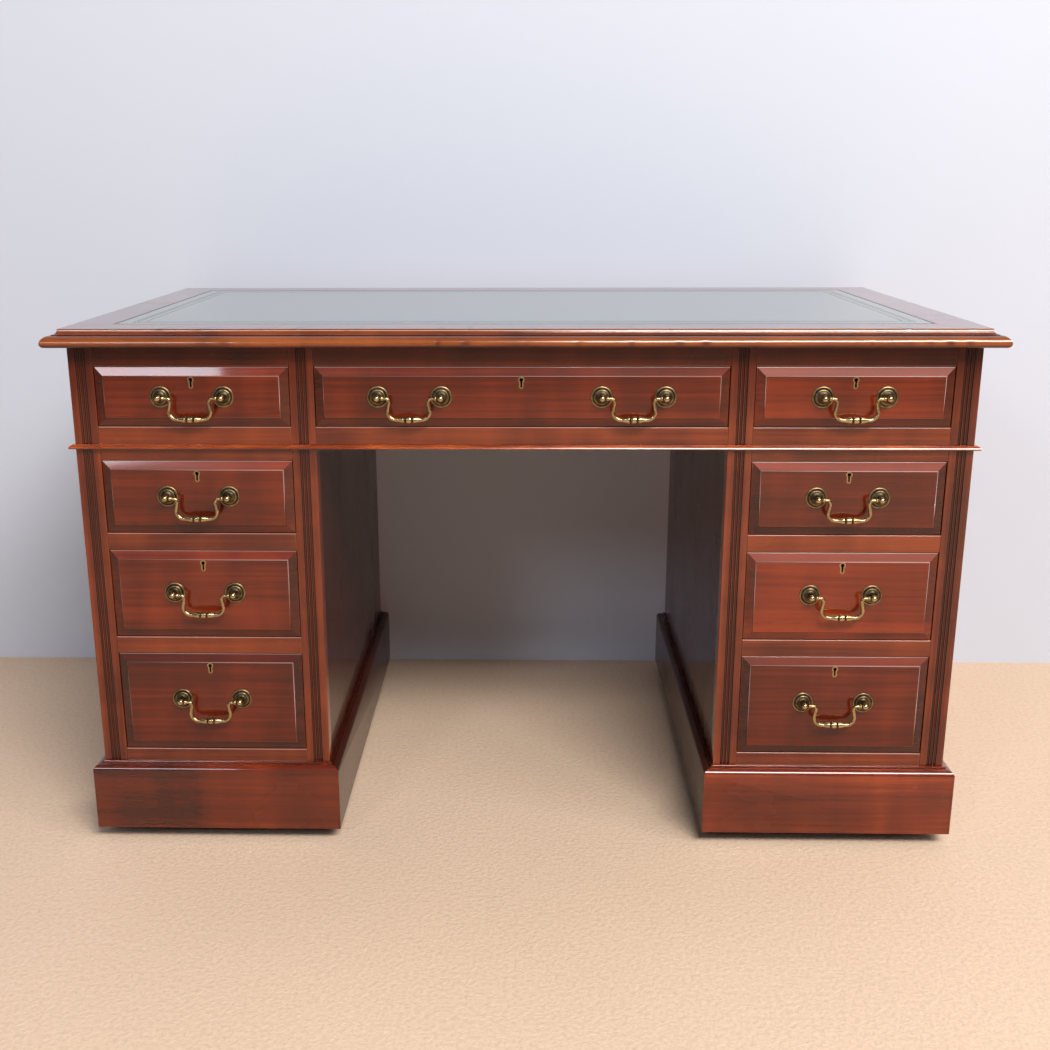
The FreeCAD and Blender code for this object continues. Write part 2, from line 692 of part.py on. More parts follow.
def castor_horn(x, y):
    """Swivelling horn with two cheeks that trail towards the front, and the axle across them."""
    boss = disc(boss_radius, V(x, y, z_boss_low), V(x, y, z_boss_top))
    y_axle = y - castor_trail
    inner = wheel_width / 2 + side_clearance
    outer = inner + cheek_thickness
    half = boss_radius * cheek_width_share
    pieces = []
    for face in SIDES.values():
        x_a, x_b = x + face * inner, x + face * outer
        outline = [V(x_a, y - half, z_boss_top), V(x_a, y + half, z_boss_top),
                   V(x_a, y_axle + cheek_eye_radius, z_axle), V(x_a, y_axle - cheek_eye_radius, z_axle)]
        pieces.append(prism(outline, V(x_b - x_a, 0, 0)))
        pieces.append(disc(cheek_eye_radius, V(x_a, y_axle, z_axle), V(x_b, y_axle, z_axle)))
    bore_ends = V(x, y, z_boss_low - overrun), V(x, y, z_boss_top + overrun)
    bore = disc(pintle_radius + running_clearance, *bore_ends)
    end = outer + axle_head_height
    axle_ends = V(x - end, y_axle, z_axle), V(x + end, y_axle, z_axle)
    eye = disc(axle_radius + fixed_clearance, *axle_ends)
    horn = boss.fuse(pieces).cut([bore, eye]).removeSplitter()
    axle = disc(axle_radius, *axle_ends)
    heads = []
    for face in SIDES.values():
        start = V(x + face * outer, y_axle, z_axle)
        heads.append(disc(axle_head_radius, start, V(x + face * end, y_axle, z_axle)))
    return horn.Solids + [axle.fuse(heads).removeSplitter()]


def castor_wheel(x, y):
    """A plain wheel with rounded rims, bored to run on its axle."""
    y_axle = y - castor_trail
    half = wheel_width / 2
    bore = axle_radius + running_clearance
    inner = wheel_radius - wheel_rounding
    rounding = wheel_rounding * level_start_shares[0]

    def at(radius, across):
        return V(x + across, y_axle, z_axle + radius)
    edges = [Part.makeLine(at(bore, -half), at(inner, -half))]
    for start, turn, end in ((-half, -half + wheel_rounding, 1), (half, half - wheel_rounding, -1)):
        through = at(inner + rounding, turn - end * rounding)
        edges.append(Part.Arc(at(inner, start), through, at(wheel_radius, turn)).toShape())
    tread = half - wheel_rounding
    edges.append(Part.makeLine(at(wheel_radius, -tread), at(wheel_radius, tread)))
    edges.append(Part.makeLine(at(inner, half), at(bore, half)))
    edges.append(Part.makeLine(at(bore, half), at(bore, -half)))
    face = Part.Face(Part.Wire(Part.__sortEdges__(edges)))
    return face.revolve(V(x, y_axle, z_axle), V(1, 0, 0), 360)


def main():
    os.makedirs("parts", exist_ok=True)
    board, leather = desk_top()
    save("desk_top", board)
    save("writing_leather", leather)
    save("frieze_panels", frieze_panels())
    save("frieze_partitions", frieze_partitions())
    save("frieze_front_frame", frieze_front_frame())
    save("waist_moulding", waist_moulding())
    save("drawer_runners", drawer_runners())
    for name, side in SIDES.items():
        save("%s_pedestal_panels" % name, pedestal_panels(side))
        save("%s_pedestal_boards" % name, pedestal_boards(side))
        save("%s_pedestal_front_frame" % name, pedestal_front_frame(name))
        save("%s_plinth" % name, plinth(side))
    for bay in all_bays():
        wood, brass = drawer_box(bay)
        save("%s_drawer" % bay.name, wood)
        save("%s_drawer_brass" % bay.name, brass)
        for end, offset in bay.bails.items():
            x = (bay.x_low + bay.x_high) / 2 + offset
            node = "_".join(word for word in (bay.name, "bail", end) if word)
            save(node, [bail(x, bay.z_handle)])
    places = castor_places()
    save("castor_plates", [castor_plate(x, y) for _, x, y in places])
    for name, x, y in places:
        save("castor_horn_%s" % name, castor_horn(x, y))
        save("castor_wheel_%s" % name, [castor_wheel(x, y)])


if __name__ == "__main__":
    main()
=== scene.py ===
import json
import math
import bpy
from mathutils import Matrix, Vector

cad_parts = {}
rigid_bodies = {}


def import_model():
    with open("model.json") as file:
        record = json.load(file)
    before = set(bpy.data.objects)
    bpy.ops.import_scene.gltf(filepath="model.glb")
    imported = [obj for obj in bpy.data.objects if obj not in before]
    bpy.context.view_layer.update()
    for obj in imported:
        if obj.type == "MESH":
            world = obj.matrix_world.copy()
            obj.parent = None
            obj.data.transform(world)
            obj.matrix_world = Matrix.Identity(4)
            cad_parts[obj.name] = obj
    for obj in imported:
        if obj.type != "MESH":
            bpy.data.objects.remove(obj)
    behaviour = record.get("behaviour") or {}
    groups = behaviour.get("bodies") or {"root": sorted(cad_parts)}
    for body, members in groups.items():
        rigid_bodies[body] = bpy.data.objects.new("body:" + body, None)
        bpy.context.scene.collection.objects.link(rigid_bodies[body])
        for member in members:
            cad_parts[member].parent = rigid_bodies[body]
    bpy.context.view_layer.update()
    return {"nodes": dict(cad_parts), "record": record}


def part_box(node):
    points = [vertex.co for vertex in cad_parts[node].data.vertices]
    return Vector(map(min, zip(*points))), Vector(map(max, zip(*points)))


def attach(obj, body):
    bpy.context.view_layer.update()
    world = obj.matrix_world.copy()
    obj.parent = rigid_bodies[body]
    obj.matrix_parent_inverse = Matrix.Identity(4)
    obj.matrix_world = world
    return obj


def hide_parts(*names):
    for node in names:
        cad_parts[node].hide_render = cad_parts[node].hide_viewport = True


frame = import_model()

import zlib

import bmesh
import bpy
import numpy as np
from mathutils import Matrix, Vector

millimetre = 0.001


class Wire:  # one shader socket; + - * with wires or numbers add Math nodes to its tree
    def __init__(self, tree, socket=None):
        self.tree = tree
        self.socket = socket

    def node(self, kind, settings=None, sockets=None, out=0):  # any node: settings first, then values and links
        made = self.tree.nodes.new(kind)
        for key, value in (settings or {}).items():
            if key == "stops":
                setStops(made.color_ramp, value)
            else:
                setattr(made, key, value)
        for key, value in (sockets or {}).items():
            if isinstance(value, Wire):
                self.tree.links.new(value.socket, made.inputs[key])
            else:
                made.inputs[key].default_value = value
        return Wire(self.tree, made.outputs[out])

    def maths(self, operation, first, second):
        return self.node("ShaderNodeMath", {"operation": operation}, {0: first, 1: second})

    def __add__(self, other):
        return self.maths("ADD", self, other)

    def __sub__(self, other):
        return self.maths("SUBTRACT", self, other)

    def __rsub__(self, other):
        return self.maths("SUBTRACT", other, self)

    def __mul__(self, other):
        return self.maths("MULTIPLY", self, other)

    __radd__ = __add__
    __rmul__ = __mul__

    def attribute(self, name, out):
        return self.node("ShaderNodeAttribute", {"attribute_name": name}, out=out)

    def stretched(self, scale):  # a vector times a scale for each axis
        return self.node("ShaderNodeVectorMath", {"operation": "MULTIPLY"}, {0: self, 1: scale})

    def moved(self, amount, direction):  # a vector plus a direction times a value
        shift = self.node("ShaderNodeVectorMath", {"operation": "SCALE"}, {0: direction, "Scale": amount})
        return self.node("ShaderNodeVectorMath", {"operation": "ADD"}, {0: self, 1: shift})

    def noise(self, scale, detail=2.0, roughness=0.5):  # cloud noise on this vector, with its own scale on each axis
        sockets = {"Vector": self.stretched(scale), "Scale": 1.0, "Detail": detail, "Roughness": roughness}
        return self.node("ShaderNodeTexNoise", sockets=sockets)

    def rise(self, low, high):  # 0 below low, 1 above high, a smooth step between
        settings = {"interpolation_type": "SMOOTHSTEP"}
        return self.node("ShaderNodeMapRange", settings, {"Value": self, "From Min": low, "From Max": high})

    def ramp(self, stops):
        return self.node("ShaderNodeValToRGB", {"stops": stops}, {"Fac": self})

    def mix(self, first, second):  # this value fades the first colour into the second
        return self.node("ShaderNodeMix", {"data_type": "RGBA"}, {0: self, 6: first, 7: second}, out=2)

    def bump(self, distance, strength=1.0):
        sockets = {"Height": self, "Distance": distance, "Strength": strength}
        return self.node("ShaderNodeBump", sockets=sockets)


def setStops(ramp, stops):
    while len(ramp.elements) < len(stops):
        ramp.elements.new(1.0)
    for element, (place, colour) in zip(ramp.elements, stops):
        element.position = place
        element.color = (*colour, 1.0)


def newPaint(name):  # a material with its start wire and its shader
    material = bpy.data.materials.new(name)
    material.use_nodes = True
    tree = material.node_tree
    return material, Wire(tree), tree.nodes["Principled BSDF"]


def feed(shader, **values):  # wires or plain values into the shader's sockets; an underscore stands for a space
    for key, value in values.items():
        socket = shader.inputs[key.replace("_", " ")]
        if isinstance(value, Wire):
            shader.id_data.links.new(value.socket, socket)
        else:
            socket.default_value = value


# Polished mahogany: soft bands and fine streaks run along the board, which the grain attribute gives with its first
# axis; the worn attribute rubs the colour towards orange, past 1 towards a pale bare colour that on the desk top's
# fillet is a painted highlight; the tone attribute darkens or lightens it; the faces that slope upwards are lightened
# by painted light from above and greyed towards pale mauve, partly dust and partly a painted reflection
mahoganyFinish = {"dark": (0.034, 0.0052, 0.0024), "middle": (0.102, 0.0128, 0.0032), "light": (0.260, 0.044, 0.0085),
                  "rubbed": (0.31, 0.088, 0.019), "bareAndHighlight": (0.52, 0.310, 0.220), "pore": (0.022, 0.007, 0.004),
                  "dustAndSheenColour": (0.34, 0.17, 0.15), "dustAndSheenLeast": 0.0, "roughness": 0.26, "coat": 0.95,
                  "coatRoughness": 0.05, "gloss": 0.12, "waves": 0.6, "contrast": 1.5}
panelFinish = {**mahoganyFinish, "coat": 0.7, "coatRoughness": 0.10, "waves": 0.0, "contrast": 1.1}
topFinish = {**mahoganyFinish, "coatRoughness": 0.15}
drawerFinish = {**mahoganyFinish, "dark": (0.034, 0.0050, 0.0026), "middle": (0.096, 0.0110, 0.0031),
                "light": (0.240, 0.031, 0.0076), "rubbed": (0.28, 0.080, 0.020), "roughness": 0.24, "coat": 0.80,
                "waves": 14.0, "contrast": 1.6}
# A darker, duller copy of the polish for the knee sides: painted shade of the kneehole
kneeShadeFinish = {**mahoganyFinish, "dark": (0.024, 0.0042, 0.0022), "middle": (0.052, 0.0080, 0.0032),
              "light": (0.100, 0.0165, 0.0050), "coat": 0.30, "waves": 0.0, "contrast": 1.0}
# Arris polish for the bevel faces: lighter and more orange, partly real wear and partly a painted highlight along the
# edges; its upward faces always take the pale mauve, a painted reflection
wornAndLitFinish = {"dark": (0.07, 0.014, 0.0055), "middle": (0.165, 0.036, 0.0100), "light": (0.29, 0.080, 0.023),
              "rubbed": (0.40, 0.15, 0.045), "bareAndHighlight": (0.46, 0.235, 0.135), "pore": (0.06, 0.018, 0.008),
              "dustAndSheenColour": (0.60, 0.46, 0.46), "dustAndSheenLeast": 0.35, "roughness": 0.32, "coat": 0.75, "coatRoughness": 0.10,
              "gloss": 0.2, "waves": 0.0, "contrast": 1.0}
pineFinish = {"dark": (0.19, 0.105, 0.046), "middle": (0.33, 0.205, 0.098), "light": (0.45, 0.30, 0.155),
              "rubbed": (0.45, 0.32, 0.18), "bareAndHighlight": (0.52, 0.38, 0.22), "pore": (0.11, 0.06, 0.028),
              "dustAndSheenColour": (0.40, 0.32, 0.22), "dustAndSheenLeast": 0.0, "roughness": 0.62, "coat": 0.0, "coatRoughness": 0.3,
              "gloss": 0.35, "waves": 0.0, "contrast": 1.0}

grainSizes = {"drift": (1.3, 6.0, 6.0), "sway": (0.0, 0.022, 0.022), "bands": (0.8, 30.0, 30.0),
              "streaks": (3.2, 190.0, 190.0), "figure": (15.0, 4.0, 4.0), "pores": (60.0, 1300.0, 1300.0),
              "smears": (5.0, 9.0, 9.0), "share": 0.34, "middleDepth": 0.51, "bumpDepth": 0.00004}


def woodPaint(name, finish):
    sizes = grainSizes
    material, paint, shader = newPaint(name)
    grain = paint.attribute("grain", "Vector")
    tone = paint.attribute("tone", "Fac")
    worn = paint.attribute("worn", "Fac")
    drift = grain.noise(sizes["drift"])
    wandering = grain.moved(drift - 0.5, sizes["sway"])
    bands = wandering.noise(sizes["bands"], 3.0, 0.55)
    streaks = wandering.noise(sizes["streaks"], 5.0, 0.62)
    figure = grain.noise(sizes["figure"])
    pores = wandering.noise(sizes["pores"], 1.0).rise(0.60, 0.74)
    # Faces that slope upwards: lightened by painted light from above, and greyed partly by dust, partly by a painted
    # pale reflection
    facing = paint.node("ShaderNodeTexCoord", out="Normal")
    upward = paint.node("ShaderNodeSeparateXYZ", sockets={0: facing}, out="Z").rise(0.10, 0.22)
    faded = paint.attribute("faded", "Fac") * upward
    dust = (paint.attribute("dust", "Fac") + finish["dustAndSheenLeast"]) * upward
    share = sizes["share"] * finish["contrast"]
    depth = (bands + streaks + figure - 1.5) * share + sizes["middleDepth"] + tone + faded
    colour = depth.ramp([(0.22, finish["dark"]), (0.50, finish["middle"]), (0.86, finish["light"])])
    rubbing = (worn * 1.5 + streaks * 0.5 + figure * 0.5 - 0.9).rise(0.0, 1.0)
    colour = rubbing.mix(colour, (*finish["rubbed"], 1.0))
    # Worn past 1 fades to the pale bare colour, which on the desk top's fillet is a painted highlight
    colour = (worn + streaks * 0.4 - 1.2).rise(0.0, 0.5).mix(colour, (*finish["bareAndHighlight"], 1.0))
    colour = (pores * 0.45).mix(colour, (*finish["pore"], 1.0))
    # Upward faces greyed towards pale mauve: partly dust, partly a painted pale reflection
    colour = dust.mix(colour, (*finish["dustAndSheenColour"], 1.0))
    smears = grain.noise(sizes["smears"], 3.0)
    waves = grain.noise(sizes["smears"], 0.0)
    roughness = smears * 0.16 + pores * 0.06 + (finish["roughness"] - 0.08)
    feed(shader, Base_Color=colour, Roughness=roughness, Coat_Weight=finish["coat"],
         Coat_Roughness=finish["coatRoughness"], Specular_IOR_Level=finish["gloss"],
         Normal=((streaks * 0.25 - pores) * 0.12 + waves * finish["waves"]).bump(sizes["bumpDepth"]))
    return material


# Aged brass: bright where hands and cloths reach, brown in the hollows; the worn attribute says which
brassFinish = {"bright": (0.52, 0.395, 0.205), "aged": (0.25, 0.182, 0.096), "hollow": (0.052, 0.037, 0.022),
               "brightRoughness": 0.24, "agedRoughness": 0.46, "clouds": 160.0, "specks": 900.0, "bumpDepth": 0.00008}


def brassPaint(name, finish):
    material, paint, shader = newPaint(name)
    place = paint.node("ShaderNodeTexCoord", out="Object")
    worn = paint.attribute("worn", "Fac")
    clouds = place.noise([finish["clouds"]] * 3, 4.0, 0.6)
    specks = place.noise([finish["specks"]] * 3).rise(0.62, 0.75)
    shine = (worn + (clouds - 0.5) * 0.55).rise(0.28, 0.85)
    colour = shine.mix((*finish["hollow"], 1.0), (*finish["bright"], 1.0))
    colour = (clouds.rise(0.42, 0.7) * 0.4).mix(colour, (*finish["aged"], 1.0))
    colour = (specks * 0.35).mix(colour, (*finish["hollow"], 1.0))
    roughness = finish["agedRoughness"] - shine * (finish["agedRoughness"] - finish["brightRoughness"])
    feed(shader, Base_Color=colour, Metallic=1.0, Roughness=roughness,
         Normal=(clouds - specks).bump(finish["bumpDepth"], 0.35))
    return material


# Green hide: pebbled grain, soft cloudy tone, a tooled border that the tooled attribute marks
leatherFinish = {"deep": (0.020, 0.040, 0.027), "green": (0.046, 0.085, 0.056), "pale": (0.085, 0.135, 0.092),
                 "tooled": (0.012, 0.018, 0.012), "roughness": 0.33, "coatRoughness": 0.12, "coatIor": 1.6,
                 "pebbles": 620.0, "creases": 240.0, "clouds": (5.0, 7.0, 5.0), "scuffs": (60.0, 9.0, 60.0),
                 "bumpDepth": 0.00012}


def leatherPaint(name, finish):
    material, paint, shader = newPaint(name)
    place = paint.node("ShaderNodeTexCoord", out="Object")
    tooled = paint.attribute("tooled", "Fac")
    sockets = {"Vector": place, "Scale": finish["pebbles"]}
    pebbles = place.node("ShaderNodeTexVoronoi", {"feature": "SMOOTH_F1"}, sockets)
    creases = place.noise([finish["creases"]] * 3, 4.0, 0.6)
    clouds = place.noise(finish["clouds"], 4.0, 0.6)
    scuffs = place.noise(finish["scuffs"], 3.0, 0.6).rise(0.60, 0.78)
    tone = clouds * 0.8 + creases * 0.2
    colour = tone.ramp([(0.30, finish["deep"]), (0.52, finish["green"]), (0.78, finish["pale"])])
    colour = (scuffs * 0.35).mix(colour, (*finish["pale"], 1.0))
    colour = (tooled * 0.85).mix(colour, (*finish["tooled"], 1.0))
    roughness = clouds * 0.12 + scuffs * 0.1 + tooled * 0.4 + (finish["roughness"] - 0.06)
    height = pebbles * -0.6 + creases * 0.4
    feed(shader, Base_Color=colour, Roughness=roughness, Coat_Weight=1.0 - tooled * 0.9,
         Coat_Roughness=finish["coatRoughness"], Coat_IOR=finish["coatIor"],
         Normal=height.bump(finish["bumpDepth"], 0.3))
    return material


# Castor metal: dark browned iron; castor wheels: turned dark hardwood
ironFinish = {"dark": (0.018, 0.014, 0.011), "rubbed": (0.12, 0.095, 0.06), "roughness": 0.48, "metallic": 0.9,
              "clouds": 90.0, "pits": 700.0, "bumpDepth": 0.0001}
wheelFinish = {**ironFinish, "dark": (0.016, 0.010, 0.007), "rubbed": (0.055, 0.034, 0.02), "roughness": 0.42,
               "metallic": 0.0}


def castorPaint(name, finish):
    material, paint, shader = newPaint(name)
    place = paint.node("ShaderNodeTexCoord", out="Object")
    clouds = place.noise([finish["clouds"]] * 3, 4.0, 0.65)
    pits = place.noise([finish["pits"]] * 3)
    colour = clouds.ramp([(0.42, finish["dark"]), (0.74, finish["rubbed"])])
    roughness = clouds * -0.2 + (finish["roughness"] + 0.1)
    feed(shader, Base_Color=colour, Metallic=finish["metallic"], Roughness=roughness,
         Normal=pits.bump(finish["bumpDepth"], 0.4))
    return material


mahogany = woodPaint("polishedMahogany", mahoganyFinish)
drawerMahogany = woodPaint("drawerMahogany", drawerFinish)
kneeShadeMahogany = woodPaint("kneeShadeMahogany", kneeShadeFinish)
topMahogany = woodPaint("topMahogany", topFinish)
panelMahogany = woodPaint("panelMahogany", panelFinish)
wornAndLitMahogany = woodPaint("wornAndLitMahogany", wornAndLitFinish)
plainPine = woodPaint("plainPine", pineFinish)
agedBrass = brassPaint("agedBrass", brassFinish)
greenLeather = leatherPaint("greenLeather", leatherFinish)
castorIron = castorPaint("castorIron", ironFinish)
castorWood = castorPaint("castorWood", wheelFinish)
print("materials made")


def seeded(name):  # a random source that depends on a piece's name alone
    return np.random.default_rng(zlib.crc32(name.encode()))


def readArray(items, key, width, kind=float):  # a property of every item, one row each
    values = np.empty(len(items) * width, kind)
    items.foreach_get(key, values)
    return values.reshape(-1, width)


def setAttribute(mesh, name, kind, values):  # one value or vector for each point
    key = "vector" if kind == "FLOAT_VECTOR" else "value"
    layer = mesh.attributes.new(name, kind, "POINT")
    layer.data.foreach_set(key, np.asarray(values, np.float32).ravel())


def addPiece(name, mesh, body, nodes, materials):  # object at the origin, riding on its body in place of nodes
    piece = bpy.data.objects.new(name, mesh)
    bpy.context.scene.collection.objects.link(piece)
    for material in materials:
        mesh.materials.append(material)
    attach(piece, body)
    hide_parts(*nodes)
    return piece


def solidsOf(node):
    # A node's triangles, with corners at one spot made one point, and the number of the solid that each belongs to.
    # The triangles come solid by solid, and a run of them is closed, so a solid ends, where every edge so far has
    # been walked as often one way as the other.
    mesh = frame["nodes"][node].data
    mesh.calc_loop_triangles()
    corners = readArray(mesh.loop_triangles, "vertices", 3, np.int64)
    micron = millimetre * millimetre
    rounded = np.round(readArray(mesh.vertices, "co", 3) / micron).astype(np.int64)
    spots, spotOf = np.unique(rounded, axis=0, return_inverse=True)
    triangles = spotOf.ravel()[corners]
    first, second, third = triangles.T
    triangles = triangles[(first != second) & (second != third) & (third != first)]
    walks = triangles[:, [0, 1, 1, 2, 2, 0]].reshape(-1, 2)
    edge = np.unique(np.sort(walks, axis=1), axis=0, return_inverse=True)[1].ravel()
    owner = np.repeat(np.arange(len(triangles)), 3)
    order = np.lexsort((owner, edge))
    way = np.where(walks[:, 0] < walks[:, 1], 1, -1)
    unpaired = np.nonzero(np.cumsum(way[order]))[0]
    opened = np.zeros(len(triangles) + 1, np.int64)
    np.add.at(opened, owner[order][unpaired], 1)
    np.add.at(opened, owner[order][unpaired + 1], -1)
    closed = np.cumsum(opened)[:-1] == 0
    return spots * micron, triangles, np.cumsum(closed) - closed


def boxesOf(points, solid):  # lowest and highest corner of each solid's points
    low = np.full((solid.max() + 1, 3), np.inf)
    high = -low
    np.minimum.at(low, solid, points)
    np.maximum.at(high, solid, points)
    return low, high


def solidBoxes(node):  # the boxes of a node's solids, in their order
    spots, triangles, solidOf = solidsOf(node)
    return boxesOf(spots[triangles].reshape(-1, 3), np.repeat(solidOf, 3))


def grainOf(points, solid, name, axis=None):
    # Grain coordinates: the along axis first (a board's longest side, or the axis given), then the two across,
    # plus a seeded shift for each board, so that no two boards show the same figure; and each board's tone.
    low, high = boxesOf(points, solid)
    count = len(low)
    along = np.full(count, axis) if axis is not None else np.argmax(high - low, axis=1)
    order = (along[:, None] + np.arange(3)) % 3
    random = seeded(name)
    shift = random.uniform(-9.0, 9.0, (count, 3))
    tone = random.uniform(-0.045, 0.045, count)
    return np.take_along_axis(points, order[solid], axis=1) + shift[solid], tone[solid]


boardSizes = {"arris": 0.0006, "segments": 2, "arrisAngle": 30.0, "smoothAngle": 19.0, "flatAngle": 0.6,
              "longEdge": 0.012}


def markArrises(mesh):
    # Bevel weight of a triangle mesh's edges: 1 where an edge is long and the faces that meet there turn sharply
    # outwards, by the angle between their normals and the side on which the second face's middle lies
    edgeOf = readArray(mesh.loops, "edge_index", 1, np.int64).ravel()
    normals = readArray(mesh.polygons, "normal", 3)
    middles = readArray(mesh.polygons, "center", 3)
    ends = readArray(mesh.edges, "vertices", 2, np.int64)
    order = np.argsort(edgeOf, kind="stable")
    edges = np.arange(len(mesh.edges))
    first = order[np.searchsorted(edgeOf[order], edges)] // 3
    last = order[np.searchsorted(edgeOf[order], edges, side="right") - 1] // 3
    turn = np.degrees(np.arccos(np.clip((normals[first] * normals[last]).sum(axis=1), -1, 1)))
    start, end = readArray(mesh.vertices, "co", 3)[ends].transpose(1, 0, 2)
    length = np.linalg.norm(end - start, axis=1)
    outward = ((middles[last] - middles[first]) * normals[first]).sum(axis=1) < 0
    weight = outward & (turn > boardSizes["arrisAngle"]) & (length > boardSizes["longEdge"])
    layer = mesh.attributes.new("bevel_weight_edge", "FLOAT", "EDGE")
    layer.data.foreach_set("value", weight.astype(np.float32))


def addBoards(name, node, body, slot, materials, keep=None, axis=None, arris=boardSizes["arris"], worn=0.0,
              tone=0.0, faded=0.0, dust=0.0, pierced=False, shade=None):
    # Boards as the frame has them, merged solid by solid, flat faces joined up, arrises eased by a small bevel;
    # pierced boards keep the frame's triangles, and only their long arrises are eased; shade gives more tone by place
    spots, triangles, solidOf = solidsOf(node)
    wanted = np.isin(solidOf, np.arange(solidOf.max() + 1) if keep is None else keep)
    triangles = triangles[wanted]
    owner = np.repeat(solidOf[wanted], 3)
    keys, index = np.unique(np.stack([owner, triangles.ravel()], axis=1), axis=0, return_inverse=True)
    points = spots[keys[:, 1]]
    solid = np.unique(keys[:, 0], return_inverse=True)[1].ravel()
    mesh = bpy.data.meshes.new(name)
    mesh.from_pydata(points, [], index.reshape(-1, 3))
    layer = mesh.attributes.new("solid", "INT", "POINT")
    layer.data.foreach_set("value", solid.astype(np.int32))
    if pierced:
        markArrises(mesh)
    else:
        work = bmesh.new()
        work.from_mesh(mesh)
        angle = math.radians(boardSizes["flatAngle"])
        bmesh.ops.dissolve_limit(work, angle_limit=angle, verts=work.verts, edges=work.edges)
        work.to_mesh(mesh)
        work.free()
    points = readArray(mesh.vertices, "co", 3)
    solid = readArray(mesh.attributes["solid"].data, "value", 1, np.int32).ravel()
    grain, boardTone = grainOf(points, solid, name, axis)
    boardTone = boardTone + tone + (0.0 if shade is None else shade(points))
    setAttribute(mesh, "grain", "FLOAT_VECTOR", grain)
    setAttribute(mesh, "tone", "FLOAT", boardTone)
    for key, value in {"worn": worn, "faded": faded, "dust": dust}.items():
        setAttribute(mesh, key, "FLOAT", np.full(len(points), value))
    mesh.shade_smooth()
    mesh.set_sharp_from_angle(angle=math.radians(boardSizes["smoothAngle"]))
    piece = addPiece(name, mesh, body, [node], materials)
    bevel = piece.modifiers.new("arris", "BEVEL")
    bevel.limit_method = "WEIGHT" if pierced else "ANGLE"
    bevel.angle_limit = math.radians(boardSizes["arrisAngle"])
    bevel.width = arris
    bevel.segments = boardSizes["segments"]
    bevel.use_clamp_overlap = False
    bevel.harden_normals = True
    # The bevel faces take the last material: on mahogany boards the worn polish with its painted arris highlight
    bevel.material = len(materials) - 1


def circle(count):  # angles in even steps round a circle
    return np.linspace(0, 2 * math.pi, count, endpoint=False)


def gridPoints(*places):  # points of a grid, from coordinates that spread over it
    return np.stack(np.broadcast_arrays(*places), axis=-1).reshape(-1, 3)


def gridFaces(rows, columns, wrapRows=False, wrapColumns=False):  # quads between neighbouring points of a grid
    row = np.arange(rows if wrapRows else rows - 1)[:, None]
    column = np.arange(columns if wrapColumns else columns - 1)[None, :]
    nextRow = (row + 1) % rows
    nextColumn = (column + 1) % columns
    corners = [row * columns + column, nextRow * columns + column,
               nextRow * columns + nextColumn, row * columns + nextColumn]
    return np.stack(corners, axis=-1).reshape(-1, 4)


def joined(parts):  # several (points, faces, values) sets as one
    points = np.concatenate([p for p, _, _ in parts])
    starts = np.cumsum([0] + [len(p) for p, _, _ in parts[:-1]])
    faces = [list(f + start) for (_, f, _), start in zip(parts, starts)]
    values = np.concatenate([v for _, _, v in parts])
    return points, sum(faces, []), values


def addSurface(name, points, faces, body, slot, nodes, materials, smoothAngle, **attributes):
    # A closed surface from whole arrays: coincident points are merged, which shuts seams and poles
    mesh = bpy.data.meshes.new(name)
    mesh.from_pydata(points, [], faces)
    for key, values in attributes.items():
        setAttribute(mesh, key, "FLOAT_VECTOR" if np.ndim(values) == 2 else "FLOAT", values)
    work = bmesh.new()
    work.from_mesh(mesh)
    bmesh.ops.remove_doubles(work, verts=work.verts, dist=0.002 * millimetre)
    bmesh.ops.dissolve_degenerate(work, edges=work.edges, dist=0.001 * millimetre)
    bmesh.ops.recalc_face_normals(work, faces=work.faces)
    work.to_mesh(mesh)
    work.free()
    mesh.shade_smooth()
    mesh.set_sharp_from_angle(angle=math.radians(smoothAngle))
    addPiece(name, mesh, body, nodes, materials)


def outline(stops, steps=8):
    # An outline from (a, b, bulge) stops: bulge is the tangent of a quarter of the arc's angle to the next stop,
    # so 0 is a straight run; points on the arc are turned about its centre from the first end
    runs = []
    for (a, b, bulge), (c, d, _) in zip(stops, stops[1:]):
        start = complex(a, b)
        chord = complex(c, d) - start
        if bulge == 0:
            runs.append(np.array([start]))
            continue
        angle = 4 * math.atan(bulge)
        centre = start + chord / 2 * (1 + 1j / math.tan(angle / 2))
        runs.append(centre + (start - centre) * np.exp(1j * np.linspace(0, angle, steps, endpoint=False)))
    runs.append(np.array([complex(*stops[-1][:2])]))
    curve = np.concatenate(runs)
    return np.stack([curve.real, curve.imag], axis=1)


def turned(profile, steps):  # a profile of (radius, reach) turned about an axis: points (reach, across, up) and faces
    angle = circle(steps)
    radius, reach = profile[:, 0, None], profile[:, 1, None]
    points = gridPoints(reach, radius * np.cos(angle), radius * np.sin(angle))
    return points, gridFaces(len(profile), steps, wrapColumns=True)


